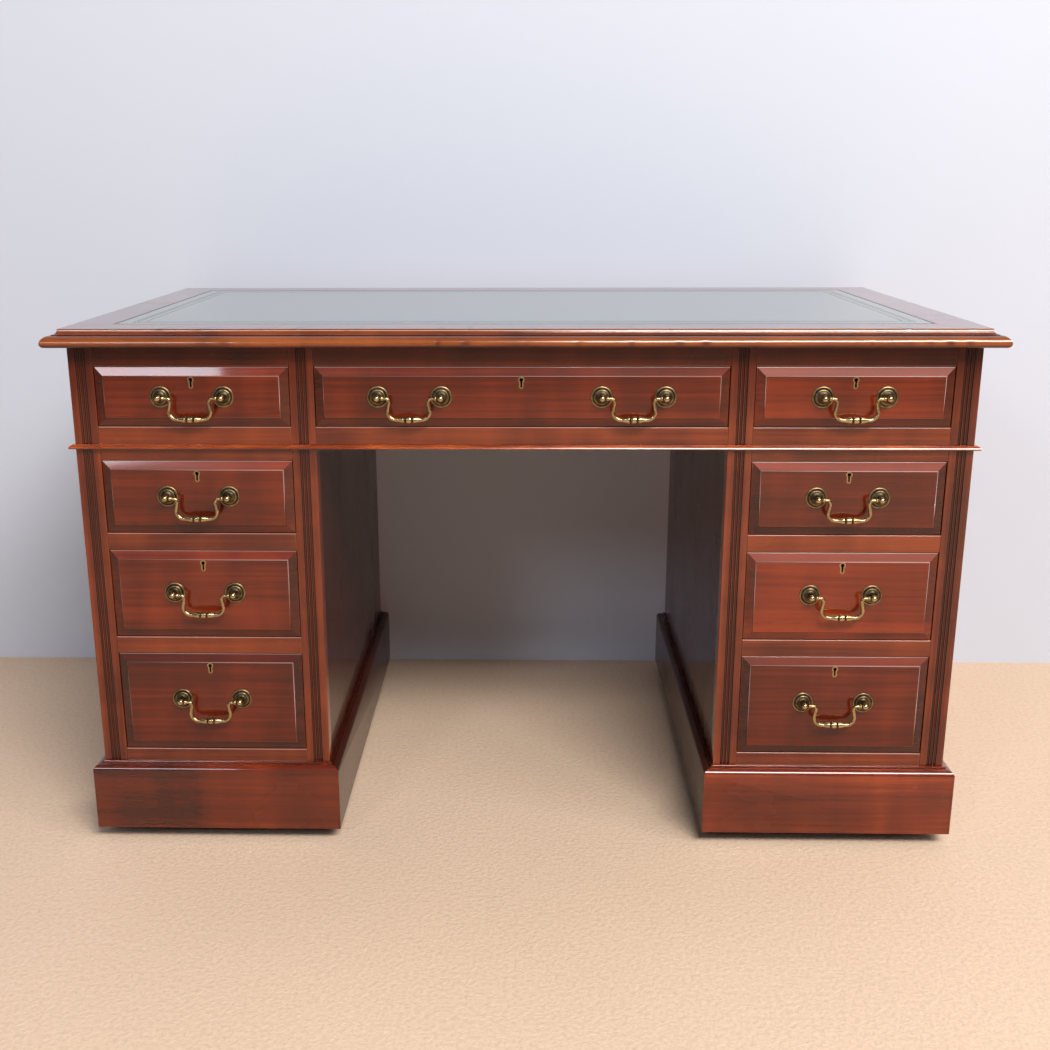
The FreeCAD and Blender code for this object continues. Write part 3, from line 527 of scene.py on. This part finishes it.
# Carcass boards as the frame has them: the waist, the panels and plinths, whose knee sides take a darker, duller
# copy of the polish as painted shade for the kneehole, and the plain boards inside
addBoards("waist_moulding_wood", "waist_moulding", "carcass", "mahogany", [topMahogany], pierced=True, worn=0.42,
          tone=0.03)
addBoards("frieze_panels_wood", "frieze_panels", "carcass", "mahogany", [panelMahogany, wornAndLitMahogany])
pedestalLooks = {"pedestal_panels": (panelMahogany, {"axis": 2, "tone": -0.06}),
                 "plinth": (mahogany, {"pierced": True, "tone": -0.10})}
for part, (polish, look) in pedestalLooks.items():
    for node in ("left_" + part, "right_" + part):
        low, high = solidBoxes(node)
        knee = int(np.argmin(np.abs(low[:, 0] + high[:, 0]) + (high - low)[:, 0]))
        others = [k for k in range(len(low)) if k != knee]
        addBoards(node + "_knee_side", node, "carcass", "mahogany", [kneeShadeMahogany], keep=[knee], **look)
        addBoards(node + "_wood", node, "carcass", "mahogany", [polish, wornAndLitMahogany], keep=others, **look)
for node in ("frieze_partitions", "drawer_runners", "left_pedestal_boards", "right_pedestal_boards"):
    addBoards(node + "_wood", node, "carcass", "secondary_wood", [plainPine])
print("carcass boards made")

# Front frames: the rails as the frame has them, the stiles with three flutes
# The flute hollows darken by grime and painted shade; shadowTone and shadowFade paint the desk top's shadow
stileSizes = {"count": 3, "pitch": 0.0047, "radius": 0.0018, "arris": 0.0007, "lip": 0.0003, "lipSpan": 0.3,
              "lipSlope": 0.6, "worn": 0.15, "grimeAndShade": -0.40, "ridgeTone": -0.10, "tone": 0.15, "railTone": 0.12,
              "railArris": 0.0010, "shadowTone": -0.24, "shadowFade": 0.045, "smoothAngle": 35.0}


def stileShape(low, high, fluteFoot):
    # A stile's section carried up its height: back corners, rounded front arrises and half-round flutes, each with
    # a lip; the flutes start at fluteFoot, where the section steps from flat to fluted. Tone falls with flute depth,
    # by grime and painted shade in the hollows, and is lower on the ridges between flutes.
    sizes = stileSizes
    middle = (low[0] + high[0]) / 2
    angle = np.linspace(0, math.pi, 13)
    places = (np.arange(sizes["count"]) - (sizes["count"] - 1) / 2) * sizes["pitch"] + middle
    across = (places[:, None] - sizes["radius"] * np.cos(angle)).ravel()
    sunk = np.tile(sizes["radius"] * np.sin(angle), sizes["count"])
    lips = np.tile(np.sin(angle) < sizes["lipSpan"], sizes["count"])
    sunk = np.where(lips, np.maximum(sunk - sizes["lip"], 0) * sizes["lipSlope"], sunk)
    bend = np.linspace(0, math.pi / 2, 5)
    ease = sizes["arris"] * (1 - np.sin(bend))
    front = low[1] + sizes["arris"] * (1 - np.cos(bend))
    x = np.concatenate([[low[0]], (low[0] + ease)[::-1], across, high[0] - ease, [high[0]]])
    flat = np.concatenate([[high[1]], front[::-1], np.full(len(across), low[1]), front, [high[1]]])
    groove = np.pad(sunk, len(bend) + 1)
    levels = np.array([low[2], low[2], fluteFoot, fluteFoot, high[2], high[2]])
    depth = np.array([0.0, 0.0, 0.0, 1.0, 1.0, 1.0])[:, None] * groove
    points = np.stack(np.broadcast_arrays(x, flat + depth, levels[:, None]), axis=-1)
    points[[0, -1], :, 0] = middle
    points[[0, -1], :, 1] = (low[1] + high[1]) / 2
    ridges = (np.abs(x - middle) < sizes["pitch"] * sizes["count"] / 2) * sizes["ridgeTone"]
    # Darker flute hollows: grime and painted shade
    tone = ridges + sizes["grimeAndShade"] * np.clip(depth / sizes["radius"], 0, 1)
    return points.reshape(-1, 3), gridFaces(len(levels), len(x), wrapColumns=True), tone.ravel()


def underTopShade(points):  # painted shadow of the desk top's overhang, darkest close under it, fading downwards
    fade = 1 - (float(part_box("desk_top")[0][2]) - points[:, 2]) / stileSizes["shadowFade"]
    return stileSizes["shadowTone"] * np.clip(fade * 2, 0, 1)


def addFrontFrame(node, stileCount, fluteFoot):
    low, high = solidBoxes(node)
    rails = list(range(stileCount, len(low)))
    addBoards(node + "_rails", node, "carcass", "mahogany", [mahogany, wornAndLitMahogany], keep=rails, worn=0.1,
              tone=stileSizes["railTone"], arris=stileSizes["railArris"], shade=underTopShade)
    parts = [stileShape(low[k], high[k], max(low[k][2], fluteFoot)) for k in range(stileCount)]
    points, faces, tone = joined(parts)
    solid = np.repeat(np.arange(stileCount), [len(part[0]) for part in parts])
    grain, boardTone = grainOf(points, solid, node + "_stiles", 2)
    tone = tone + boardTone + stileSizes["tone"] + underTopShade(points)
    worn = np.full(len(points), stileSizes["worn"])
    addSurface(node + "_stiles", points, faces, "carcass", "mahogany", [node], [mahogany], stileSizes["smoothAngle"],
               grain=grain, tone=tone, worn=worn)


plinthTop = float(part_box("left_plinth")[1][2])
stileCounts = {"frieze_front_frame": 4, "left_pedestal_front_frame": 2, "right_pedestal_front_frame": 2}
for node, stileCount in stileCounts.items():
    addFrontFrame(node, stileCount, plinthTop)
print("front frames made")


# Desk top: a moulding carried round four mitred sides, with knocks along its arris and its nose
topSizes = {"edgeRun": 0.0185, "filletDrop": 0.0025, "coveRun": 0.0060, "coveDrop": 0.0045, "quirk": 0.0010,
            "thumbDrop": 0.0090, "underRun": 0.0050, "underEdge": 0.0300, "arris": 0.0006, "bed": 0.0015,
            "step": 0.0022, "chips": 70, "dents": 60, "chipDepth": 0.0009, "dentDepth": 0.0005, "chipWidth": 0.0060,
            "dentWidth": 0.0075, "chipShare": 0.7, "arrisReach": 0.0013, "noseLift": 0.0010, "noseReach": 0.0035,
            "jointWidth": 0.0008, "jointTone": -0.35, "bedLip": 0.0005, "flat": 0.0040, "ease": 0.0003,
            "quirkEase": 0.0002, "smoothAngle": 50.0}
# Tone and wear of the top's edge by drop: a dark line at the arris, the fillet's pale bare colour as a painted
# highlight, dark lines in the quirks and under the thumb as painted shade, and the thumb's rubbed orange as wear
edgeWearAndPaintedLight = {"drop": [0, .5, .9, 2.4, 2.7, 4.5, 6.8, 8.1, 9, 12, 15, 17.5, 20, 23],  # millimetres below the top
             "tone": [0, -.20, 0, 0, -.25, .04, -.02, -.30, 0, .05, .06, .03, -.14, -.30],
             "worn": [0, .1, 1.7, 1.7, .2, .50, .4, .05, .50, .66, .74, .60, .40, .1]}


def knocks(along, length, count, depth, width, random):  # bells of seeded depth, width and place along an edge
    place = random.uniform(0, length, count)
    deep = random.uniform(0.15, 1.0, count) ** 2 * depth
    wide = random.uniform(0.3, 1.0, count) * width
    return (deep * np.exp(-(((along[:, None] - place) / wide) ** 2))).sum(axis=1)


def addDeskTop():
    # Ring of each profile point = the top's rectangle drawn in by the point's inset, its sides cut at even steps, so
    # that corners stay mitred. A knock moves the arris in and down, or the nose in, and darkens it.
    sizes = topSizes
    low, high = (np.array(corner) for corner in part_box("desk_top"))
    bedEdge = float(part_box("writing_leather")[0][0] - low[0])
    bulge = math.tan(math.pi / 8)
    run, arris, top = sizes["edgeRun"], sizes["arris"], high[2]
    cove = top - sizes["filletDrop"]
    quirk = cove - sizes["coveDrop"]
    thumb = quirk - sizes["quirk"]
    nose = thumb - sizes["thumbDrop"]
    thumbRun = run - sizes["coveRun"]
    lip, flat, ease = sizes["bedLip"], sizes["flat"], sizes["ease"]
    profile = outline([(bedEdge, top - sizes["bed"], 0), (bedEdge, top - lip, 0), (bedEdge - lip, top, 0),
                       (bedEdge - flat, top, 0), (run + flat, top, 0), (run + arris, top, bulge),
                       (run, top - arris, 0), (run, cove + ease, 0), (run - ease, cove, -bulge * 0.96),
                       (thumbRun + ease, quirk + sizes["quirkEase"], 0), (thumbRun, quirk, 0),
                       (thumbRun, thumb, bulge), (0, nose, bulge * 0.9), (sizes["underRun"], low[2], 0),
                       (sizes["underEdge"], low[2], 0)], 9)
    inset, level = profile.T
    corners = np.array([(-1, -1), (1, -1), (1, 1), (-1, 1)])
    half = (high - low)[:2] / 2
    sides = np.tile(2 * half, 2)
    counts = (sides / sizes["step"]).astype(int)
    share = np.concatenate([np.arange(count) / count for count in counts])
    side = np.repeat(np.arange(4), counts)
    start, end = corners[side], corners[(side + 1) % 4]
    along = np.concatenate([[0], np.cumsum(sides)[:-1]])[side] + share * sides[side]
    random = seeded("desk top")
    length = sides.sum()
    chip = knocks(along, length, sizes["chips"], sizes["chipDepth"], sizes["chipWidth"], random)
    dent = knocks(along, length, sizes["dents"], sizes["dentDepth"], sizes["dentWidth"], random)
    atArris = np.exp(-(np.hypot(inset - run, level - top) / sizes["arrisReach"]) ** 2)[:, None]
    atNose = np.exp(-((level - nose - sizes["noseLift"]) / sizes["noseReach"]) ** 2)[:, None]
    atNose = atNose * (inset < thumbRun)[:, None]
    drawnIn = inset[:, None] + sizes["chipShare"] * chip * atArris + dent * atNose
    reach = half - drawnIn[..., None]
    plan = start * reach * (1 - share[:, None]) + end * reach * share[:, None]
    height = level[:, None] - sizes["chipShare"] * chip * atArris
    points = np.concatenate([plan, height[..., None]], axis=-1).reshape(-1, 3)
    rows, columns = len(profile), len(share)
    faces = list(gridFaces(rows, columns, wrapColumns=True))
    faces += [np.arange(columns), np.arange(columns)[::-1] + (rows - 1) * columns]
    # Painted highlight on the fillet, painted shade in the quirks and under the thumb, wear on the thumb
    stations = np.array(edgeWearAndPaintedLight["drop"]) * millimetre
    tone = np.interp(top - level, stations, edgeWearAndPaintedLight["tone"])
    worn = np.interp(top - level, stations, edgeWearAndPaintedLight["worn"])
    nearBed = np.clip(1 - np.abs(inset - bedEdge) / sizes["jointWidth"], 0, 1) * sizes["jointTone"]
    chipped, dented = chip * atArris / sizes["chipDepth"], dent * atNose / sizes["dentDepth"]
    tone = (tone + nearBed)[:, None] - chipped * 0.4 - dented * 0.2
    worn = worn[:, None] - dented * 0.3
    grain, boardTone = grainOf(points, np.zeros(len(points), int), "desk top", 0)
    addSurface("desk_top_wood", points, faces, "carcass", "mahogany", ["desk_top"], [topMahogany],
               sizes["smoothAngle"], grain=grain, tone=tone.ravel() + boardTone, worn=worn.ravel())


addDeskTop()
print("desk top made")

# slopeTone is painted shade on the drawer fronts' slopes; topTone and footTone make each front darker towards its top
frontShades = {"slopeTone": -0.20, "topTone": -0.05, "footTone": 0.04, "arris": 0.0010, "boxArris": 0.0004,
               "step": 0.0006}
# Tone, painted light on upward faces, and dust with a painted sheen, of each drawer front
frontLooks = {"frieze_left": (0.02, 0.40, 0.0), "frieze_centre": (0.05, 0.25, 0.08),
              "frieze_right": (0.09, 0.40, 0.50), "left_lower": (-0.04, 0.18, 0.08),
              "left_middle": (0.09, 0.38, 0.06), "left_upper": (0.0, 0.36, 0.12), "right_lower": (0.02, 0.35, 0.20),
              "right_middle": (0.26, 0.20, 0.34), "right_upper": (0.02, 0.45, 0.34)}


def frontShade(points):  # painted shade on a drawer front's slopes, which lie behind its field; the whole front darker towards its top
    deep, up = points[:, 1], points[:, 2]
    climb = (up - up.min()) / np.ptp(up)
    slope = np.where(deep > deep.min() + frontShades["step"], frontShades["slopeTone"], 0.0)
    return slope + frontShades["footTone"] + (frontShades["topTone"] - frontShades["footTone"]) * climb


for drawer, (tone, faded, dust) in frontLooks.items():
    body = drawer + "_drawer"
    low, high = solidBoxes(body)
    front = int(np.argmin(low[:, 1]))
    others = [k for k in range(len(low)) if k != front]
    addBoards(body + "_front", body, body, "drawer_mahogany", [drawerMahogany, wornAndLitMahogany], keep=[front],
              pierced=True, arris=frontShades["arris"], tone=tone, faded=faded, dust=dust, shade=frontShade)
    addBoards(body + "_box", body, body, "secondary_wood", [plainPine], keep=others, pierced=True,
              arris=frontShades["boxArris"])
print("drawers made")


# Writing leather: a sheet filling its bed, pressed down along the tooled lines, dark along its joint with the wood
leatherSizes = {"lines": (0.0195, 0.0245, 0.0335), "lineWidth": 0.0011, "lineDepth": 0.00025, "edgeRound": 0.0010,
                "joint": (0.0020, 0.0026), "edge": (0.0, 0.0002, 0.0006, 0.0012), "margin": 0.004, "columns": 150,
                "rows": 80, "softness": 0.45, "smoothAngle": 60.0}


def leatherSpan(low, high, count):  # places across the sheet: even, with extra ones at the edge and round each line
    sizes = leatherSizes
    offsets = np.array(sizes["lines"])[:, None] + np.linspace(-1.2, 1.2, 7) * sizes["lineWidth"]
    edge = np.concatenate([sizes["edge"], sizes["joint"], offsets.ravel()])
    inner = edge.max() + sizes["margin"]
    even = np.linspace(low + inner, high - inner, count)
    return np.concatenate([np.sort(low + edge), even, np.sort(high - edge)])


def addLeather():
    # Height over the sheet = top, less a bell-shaped dip at each line's distance from the nearest edge, less a
    # rounding at the very edge
    sizes = leatherSizes
    low, high = (np.array(corner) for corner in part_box("writing_leather"))
    x = leatherSpan(low[0], high[0], sizes["columns"])
    y = leatherSpan(low[1], high[1], sizes["rows"])
    across, deep = np.meshgrid(x, y, indexing="ij")
    inset = np.minimum(np.minimum(across - low[0], high[0] - across), np.minimum(deep - low[1], high[1] - deep))
    lines = np.array(sizes["lines"])
    softness = sizes["softness"] * sizes["lineWidth"]
    dips = np.exp(-(((inset[..., None] - lines) / softness) ** 2)).sum(axis=-1)
    edge = np.clip(1 - inset / sizes["edgeRound"], 0, 1) ** 2
    top = high[2] - sizes["lineDepth"] * dips - sizes["edgeRound"] * 0.5 * edge
    upper = gridPoints(across, deep, top)
    lower = upper.copy()
    lower[:, 2] = low[2]
    count = len(upper)
    faces = gridFaces(len(x), len(y))
    index = np.arange(count).reshape(len(x), len(y))
    rim = np.concatenate([index[:, 0], index[-1, 1:], index[-2::-1, -1], index[0, -2:0:-1]])
    following = np.roll(rim, -1)
    skirt = np.stack([rim, following, following + count, rim + count], axis=1)
    allFaces = np.concatenate([faces, faces[:, ::-1] + count, skirt])
    joint = np.interp(inset, sizes["joint"], [1.0, 0.0])
    tooled = np.concatenate([np.maximum(dips, joint).ravel(), np.zeros(count)])
    addSurface("writing_leather_hide", np.concatenate([upper, lower]), allFaces, "carcass", "green_leather",
               ["writing_leather"], [greenLeather], sizes["smoothAngle"], tooled=tooled)


addLeather()
print("leather made")


# Handles: swan-neck bail, rose and ball-headed post
bailSizes = {"span": 0.0835, "ball": 0.0046, "gap": 0.0003, "collarRadius": 0.0032, "collarLength": 0.0024,
             "drop": 0.0280, "legInset": 0.0160, "neckBend": 0.0045, "legBend": 0.0110, "lean": 11.0,
             "neckRadius": 0.0021, "footRadius": 0.0027, "swellRadius": 0.0045, "beadRadius": 0.0048,
             "swellShare": 0.36, "grooveShare": 0.27, "beadShare": 0.17, "grooveDepthShare": 0.6, "legShine": 0.72,
             "gripShine": 0.90, "grooveGrime": 0.85, "collarShine": 0.7, "around": 24, "smoothAngle": 40.0}


def bailLine():
    # The right half of the bail's centre line, from the collar inwards: a level run, an arc over into the leg,
    # the leaning leg, an arc into the grip, and the grip to its middle; each run gives its points and radii
    sizes = bailSizes
    lean = math.radians(sizes["lean"])
    turn = math.pi / 2 + lean
    neck, knee = sizes["neckBend"], sizes["legBend"]
    xTurn = sizes["span"] / 2 - sizes["legInset"] + neck * math.cos(lean)
    leg = (sizes["drop"] - (neck + knee) * (1 + math.sin(lean))) / math.cos(lean)
    xFoot = xTurn - (neck + knee) * math.cos(lean) + leg * math.sin(lean)
    xCollar = sizes["span"] / 2 - sizes["ball"] - sizes["gap"] - sizes["collarLength"]
    neckAngle = math.pi / 2 + turn * np.linspace(0, 1, 16)
    kneeAngle = lean - turn * np.linspace(0, 1, 24)
    level = np.linspace(xCollar, xTurn, 4, endpoint=False) + 0j
    over = xTurn - 1j * neck + neck * np.exp(1j * neckAngle)
    under = xFoot + 1j * (knee - sizes["drop"]) + knee * np.exp(1j * kneeAngle)
    down = np.linspace(over[-1], under[0], 8)[1:-1]
    share = np.concatenate([np.linspace(1, 0.30, 40)[1:], np.linspace(0.295, 0.155, 29), np.linspace(0.15, 0, 16)])
    grip = xFoot * share - 1j * sizes["drop"]
    swept = np.concatenate([level, over, down, under])
    length = np.concatenate([[0], np.cumsum(np.abs(np.diff(swept)))])
    thickness = sizes["neckRadius"] + (sizes["footRadius"] - sizes["neckRadius"]) * length / length[-1]
    climb = np.clip((1 - share) / (1 - sizes["swellShare"]), 0, 1)
    swell = sizes["footRadius"] + (sizes["swellRadius"] - sizes["footRadius"]) * climb ** 2 * (3 - 2 * climb)
    valley = 1 - np.abs(share - sizes["grooveShare"]) / (sizes["grooveShare"] - sizes["beadShare"])
    swell = swell - np.clip(valley, 0, 1) ** 0.8 * (1 - sizes["grooveDepthShare"]) * sizes["swellRadius"]
    crown = np.clip(1 - (share / sizes["beadShare"]) ** 2, 0, 1)
    swell = swell + (sizes["beadRadius"] - sizes["swellRadius"]) * crown
    gripShine = sizes["gripShine"] - sizes["grooveGrime"] * np.clip(valley, 0, 1)
    worn = np.concatenate([np.full(len(swept), sizes["legShine"]), gripShine])
    return np.concatenate([swept, grip]), np.concatenate([thickness, swell]), worn


def tube(line, radii, around):
    # A round section carried along a line in one upright plane: across = line turned a quarter turn, out = Y;
    # both ends are drawn in to a point
    tangent = np.gradient(line)
    side = np.pad(tangent / np.abs(tangent) * 1j, 1, "edge")
    line = np.pad(line, 1, "edge")
    radii = np.pad(radii, 1)
    angle = circle(around)
    ring = line[:, None] + side[:, None] * (radii[:, None] * np.cos(angle))
    points = gridPoints(ring.real, radii[:, None] * np.sin(angle), ring.imag)
    return points, gridFaces(len(line), around, wrapColumns=True)


def bailShape():
    # Both halves of the centre line as one tube, and a turned collar at each end
    sizes = bailSizes
    half, radii, worn = bailLine()
    line = np.concatenate([half, -np.conj(half[-2::-1])])
    points, faces = tube(line, np.concatenate([radii, radii[-2::-1]]), sizes["around"])
    worn = np.concatenate([worn, worn[-2::-1]])
    worn = np.repeat(np.pad(worn, 1, "edge"), sizes["around"])
    inner = half[0].real
    outer = inner + sizes["collarLength"]
    radius = sizes["collarRadius"]
    root = inner - radius * 0.5
    bulge = math.tan(math.pi / 8)
    profile = outline([(0, root, 0), (sizes["neckRadius"], root, 0), (radius, inner + 0.0006, bulge * 0.8),
                       (radius * 0.55, outer, 0), (0, outer, 0)])
    collar, collarFaces = turned(profile, sizes["around"])
    collarWorn = np.full(len(collar), sizes["collarShine"])
    collars = [(collar * (end, 1, 1), collarFaces, collarWorn) for end in (-1, 1)]
    return joined([(points, faces, worn)] + collars)


# The rings are shares of the rose's radius and height, each with the bulge to the next
postSizes = {"roseRadius": 0.0143, "roseHeight": 0.0042, "standoff": 0.0135, "ball": 0.0046, "shoulder": 0.0040,
             "shoulderHeight": 0.0012, "neck": 0.0025, "around": 48,
             "rings": [(1, 0, 0), (1, 0.16, 0.3), (0.85, 0.30, 0), (0.80, 0.20, 0), (0.745, 0.24, 0.34),
                       (0.62, 0.62, -0.12), (0.40, 1, 0)],
             "shinePlaces": [0, 0.55, 0.66, 0.70, 0.745, 0.80, 0.86, 0.92, 1.0],
             "shine": [0.24, 0.17, 0.54, 0.48, 0.08, 0.05, 0.40, 0.60, 0.48]}


def postShape():
    # Rose and post as one turned surface: rim bead, sunk ring, stepped dome, shoulder, neck and ball; the worn
    # value follows the turning, high on rims and the ball, low in the sunk rings
    sizes = postSizes
    radius, height = sizes["roseRadius"], sizes["roseHeight"]
    ball, out = sizes["ball"], sizes["standoff"]
    shoulder = height + sizes["shoulderHeight"]
    throat = out - math.sqrt(ball ** 2 - sizes["neck"] ** 2)
    rose = [(radius * across, height * up, bulge) for across, up, bulge in sizes["rings"]]
    post = [(sizes["shoulder"], height, 0), (sizes["shoulder"], shoulder, 0), (sizes["neck"], shoulder, 0),
            (sizes["neck"], throat, 0.72), (0, out + ball, 0)]
    profile = outline([(0, 0, 0)] + rose + post, 14)
    points, faces = turned(profile, sizes["around"])
    worn = np.interp(profile[:, 0] / radius, sizes["shinePlaces"], sizes["shine"])
    worn = np.where(profile[:, 1] > throat - 0.0005, 1.0, worn)
    return points, faces, np.repeat(worn, sizes["around"])


lockLook = {"arris": 0.0002, "worn": 0.7}


def addHandles():
    bailPoints, bailFaces, bailWorn = bailShape()
    postPoints, postFaces, postWorn = postShape()
    posts = {drawer + "_drawer": [] for drawer in frontLooks}
    smoothAngle = bailSizes["smoothAngle"]
    for joint in frame["record"]["behaviour"]["joints"]:
        if not joint["name"].endswith("_swing"):
            continue
        bail = joint["child"]
        centre = np.array(joint["pos_m"])
        addSurface(bail + "_brass", bailPoints + centre, bailFaces, bail, "brass", [bail], [agedBrass], smoothAngle,
                   worn=bailWorn)
        for end in (-1, 1):
            foot = centre + (end * bailSizes["span"] / 2, postSizes["standoff"], 0)
            placed = postPoints[:, [1, 0, 2]] * (1, -1, 1) + foot
            posts[joint["parent"]].append((placed, postFaces, postWorn))
    for body, parts in posts.items():
        node = body + "_brass"
        points, faces, worn = joined(parts)
        addSurface(body + "_posts", points, faces, body, "brass", [node], [agedBrass], smoothAngle, worn=worn)
        fittings = [k for k in range(3 + 3 * len(parts)) if k < 3 or k % 3 == 2]  # the lock's solids and the nuts
        addBoards(body + "_lock", node, body, "brass", [agedBrass], keep=fittings, pierced=True, **lockLook)


addHandles()
print("handles made")

castorArris = 0.0004
for node in sorted(frame["nodes"]):
    if node.startswith("castor_wheel"):
        addBoards(node + "_tread", node, node, "castor_wheel", [castorWood], arris=castorArris)
    elif node.startswith("castor_"):
        body = "carcass" if node == "castor_plates" else node
        addBoards(node + "_iron", node, body, "castor_metal", [castorIron], arris=castorArris)
print("castors made")


# Floor, backdrop, soft lamps and the camera
stageSizes = {"floorRadius": 14.0, "rings": 14, "spokes": 64, "tufts": 160.0, "patches": 3.0, "pileDepth": 0.004,
              "floor": (0.78, 0.595, 0.455), "pile": (0.59, 0.45, 0.335), "wallPlace": 0.372, "wallHalfWidth": 6.0,
              "wallHeight": 4.0, "wall": (0.63, 0.68, 0.80), "far": (0.62, 0.64, 0.71), "worldLight": 0.08,
              "worldGloss": 0.22}


def addStage(name, points, faces, material):
    mesh = bpy.data.meshes.new(name)
    mesh.from_pydata(points, [], faces)
    mesh.materials.append(material)
    thing = bpy.data.objects.new(name, mesh)
    bpy.context.scene.collection.objects.link(thing)
    return thing


def addFloor():  # a flat disc: rings of points at growing radius
    sizes = stageSizes
    radius = np.geomspace(millimetre, sizes["floorRadius"], sizes["rings"])[:, None]
    angle = circle(sizes["spokes"])
    points = gridPoints(radius * np.cos(angle), radius * np.sin(angle), 0.0)
    material, paint, shader = newPaint("studioFloor")
    place = paint.node("ShaderNodeTexCoord", out="Object")
    tufts = place.noise([sizes["tufts"]] * 3, 4.0, 0.65)
    patches = place.noise([sizes["patches"]] * 3)
    colour = (tufts.rise(0.35, 0.75) * 0.5 + patches * 0.3).mix((*sizes["floor"], 1.0), (*sizes["pile"], 1.0))
    feed(shader, Base_Color=colour, Roughness=0.95, Specular_IOR_Level=0.1,
         Normal=tufts.bump(sizes["pileDepth"], 0.5))
    faces = gridFaces(sizes["rings"], sizes["spokes"], wrapColumns=True)
    addStage("studioFloor", points, faces, material)


def addBackdrop():
    # One upright sheet behind the desk, clear from its back and throwing no shadow, so that the desk's rear is seen
    # and lit
    sizes = stageSizes
    across = np.array([-1.0, 1.0]) * sizes["wallHalfWidth"]
    up = np.array([0.0, sizes["wallHeight"]])
    points = gridPoints(across[:, None], sizes["wallPlace"], up)
    material, paint, shader = newPaint("studioBackdrop")
    feed(shader, Base_Color=(*sizes["wall"], 1.0), Roughness=0.9, Specular_IOR_Level=0.1)
    behind = paint.node("ShaderNodeNewGeometry", out="Backfacing")
    clear = paint.node("ShaderNodeBsdfTransparent")
    mixed = paint.node("ShaderNodeMixShader", sockets={0: behind, 1: Wire(paint.tree, shader.outputs[0]), 2: clear})
    paint.tree.links.new(mixed.socket, paint.tree.nodes["Material Output"].inputs["Surface"])
    backdrop = addStage("studioBackdrop", points, gridFaces(2, 2), material)
    backdrop.visible_shadow = False


def addWorld():  # pale to the camera, dimmer in reflections, and a soft fill on the object
    sizes = stageSizes
    world = bpy.data.worlds.new("studio")
    bpy.context.scene.world = world
    world.use_nodes = True
    tree = world.node_tree
    paint = Wire(tree)
    camera = paint.node("ShaderNodeLightPath", out="Is Camera Ray")
    gloss = paint.node("ShaderNodeLightPath", out="Is Glossy Ray")
    light = sizes["worldLight"]
    strength = camera * (1.0 - light) + gloss * (sizes["worldGloss"] - light) + light
    background = tree.nodes["Background"]
    background.inputs["Color"].default_value = (*sizes["far"], 1.0)
    tree.links.new(strength.socket, background.inputs["Strength"])


backPieces = ["frieze_panels_wood", "left_pedestal_panels_wood", "right_pedestal_panels_wood", "left_plinth_wood",
              "right_plinth_wood", "waist_moulding_wood"]
lamps = [{"name": "ceilingLamp", "place": (1.31, -3.45, 3.81), "aim": (0.05, -0.3, 0.45), "size": (2.4, 1.12),
          "power": 255.0, "colour": (1.0, 0.955, 0.895)},
         {"name": "keyLamp", "place": (3.22, -2.26, 4.02), "aim": (0.0, -0.3, 0.45), "size": (2.1, 1.54),
          "power": 84.0, "colour": (1.0, 0.945, 0.87)},
         {"name": "windowLamp", "place": (-1.85, -4.0, 2.58), "aim": (-2.9, -0.3, 0.6), "size": (0.9, 0.72),
          "power": 30.0, "colour": (0.84, 0.90, 1.0)},
         {"name": "rearLamp", "place": (0.6, 3.0, 2.4), "aim": (0.0, 0.3, 0.35), "size": (3.0, 1.4),
          "power": 110.0, "colour": (1.0, 0.97, 0.93), "lights": backPieces}]


def addLamps():
    for lamp in lamps:
        data = bpy.data.lights.new(lamp["name"], "AREA")
        data.shape = "RECTANGLE"
        data.size, data.size_y = lamp["size"]
        data.energy = lamp["power"]
        data.color = lamp["colour"]
        light = bpy.data.objects.new(lamp["name"], data)
        light.location = lamp["place"]
        aim = Vector(lamp["aim"]) - Vector(lamp["place"])
        light.rotation_euler = aim.to_track_quat("-Z", "Y").to_euler()
        bpy.context.scene.collection.objects.link(light)
        if "lights" in lamp:
            reach = bpy.data.collections.new(lamp["name"] + "Reach")
            light.light_linking.receiver_collection = reach
            for name in lamp["lights"]:
                reach.objects.link(bpy.data.objects[name])


viewPoint = {"place": (0.0070, -1.8853, 0.9207), "pitch": 14.990, "yaw": 1.330, "roll": -0.182, "lens": 41.638,
             "sensor": 36.0, "shiftAcross": 0.0247, "shiftUp": -0.0176}


def addCamera():
    data = bpy.data.cameras.new("studioCamera")
    data.lens = viewPoint["lens"]
    data.sensor_width = viewPoint["sensor"]
    data.shift_x = viewPoint["shiftAcross"]
    data.shift_y = viewPoint["shiftUp"]
    camera = bpy.data.objects.new("studioCamera", data)
    turn = Matrix.Rotation(math.radians(viewPoint["yaw"]), 4, "Z")
    tilt = Matrix.Rotation(math.radians(90.0 - viewPoint["pitch"]), 4, "X")
    roll = Matrix.Rotation(math.radians(viewPoint["roll"]), 4, "Z")
    camera.matrix_world = Matrix.Translation(viewPoint["place"]) @ turn @ tilt @ roll
    bpy.context.scene.collection.objects.link(camera)
    bpy.context.scene.camera = camera


addFloor()
addBackdrop()
addWorld()
addLamps()
addCamera()
bpy.context.scene.view_settings.view_transform = "Standard"
print("stage made")
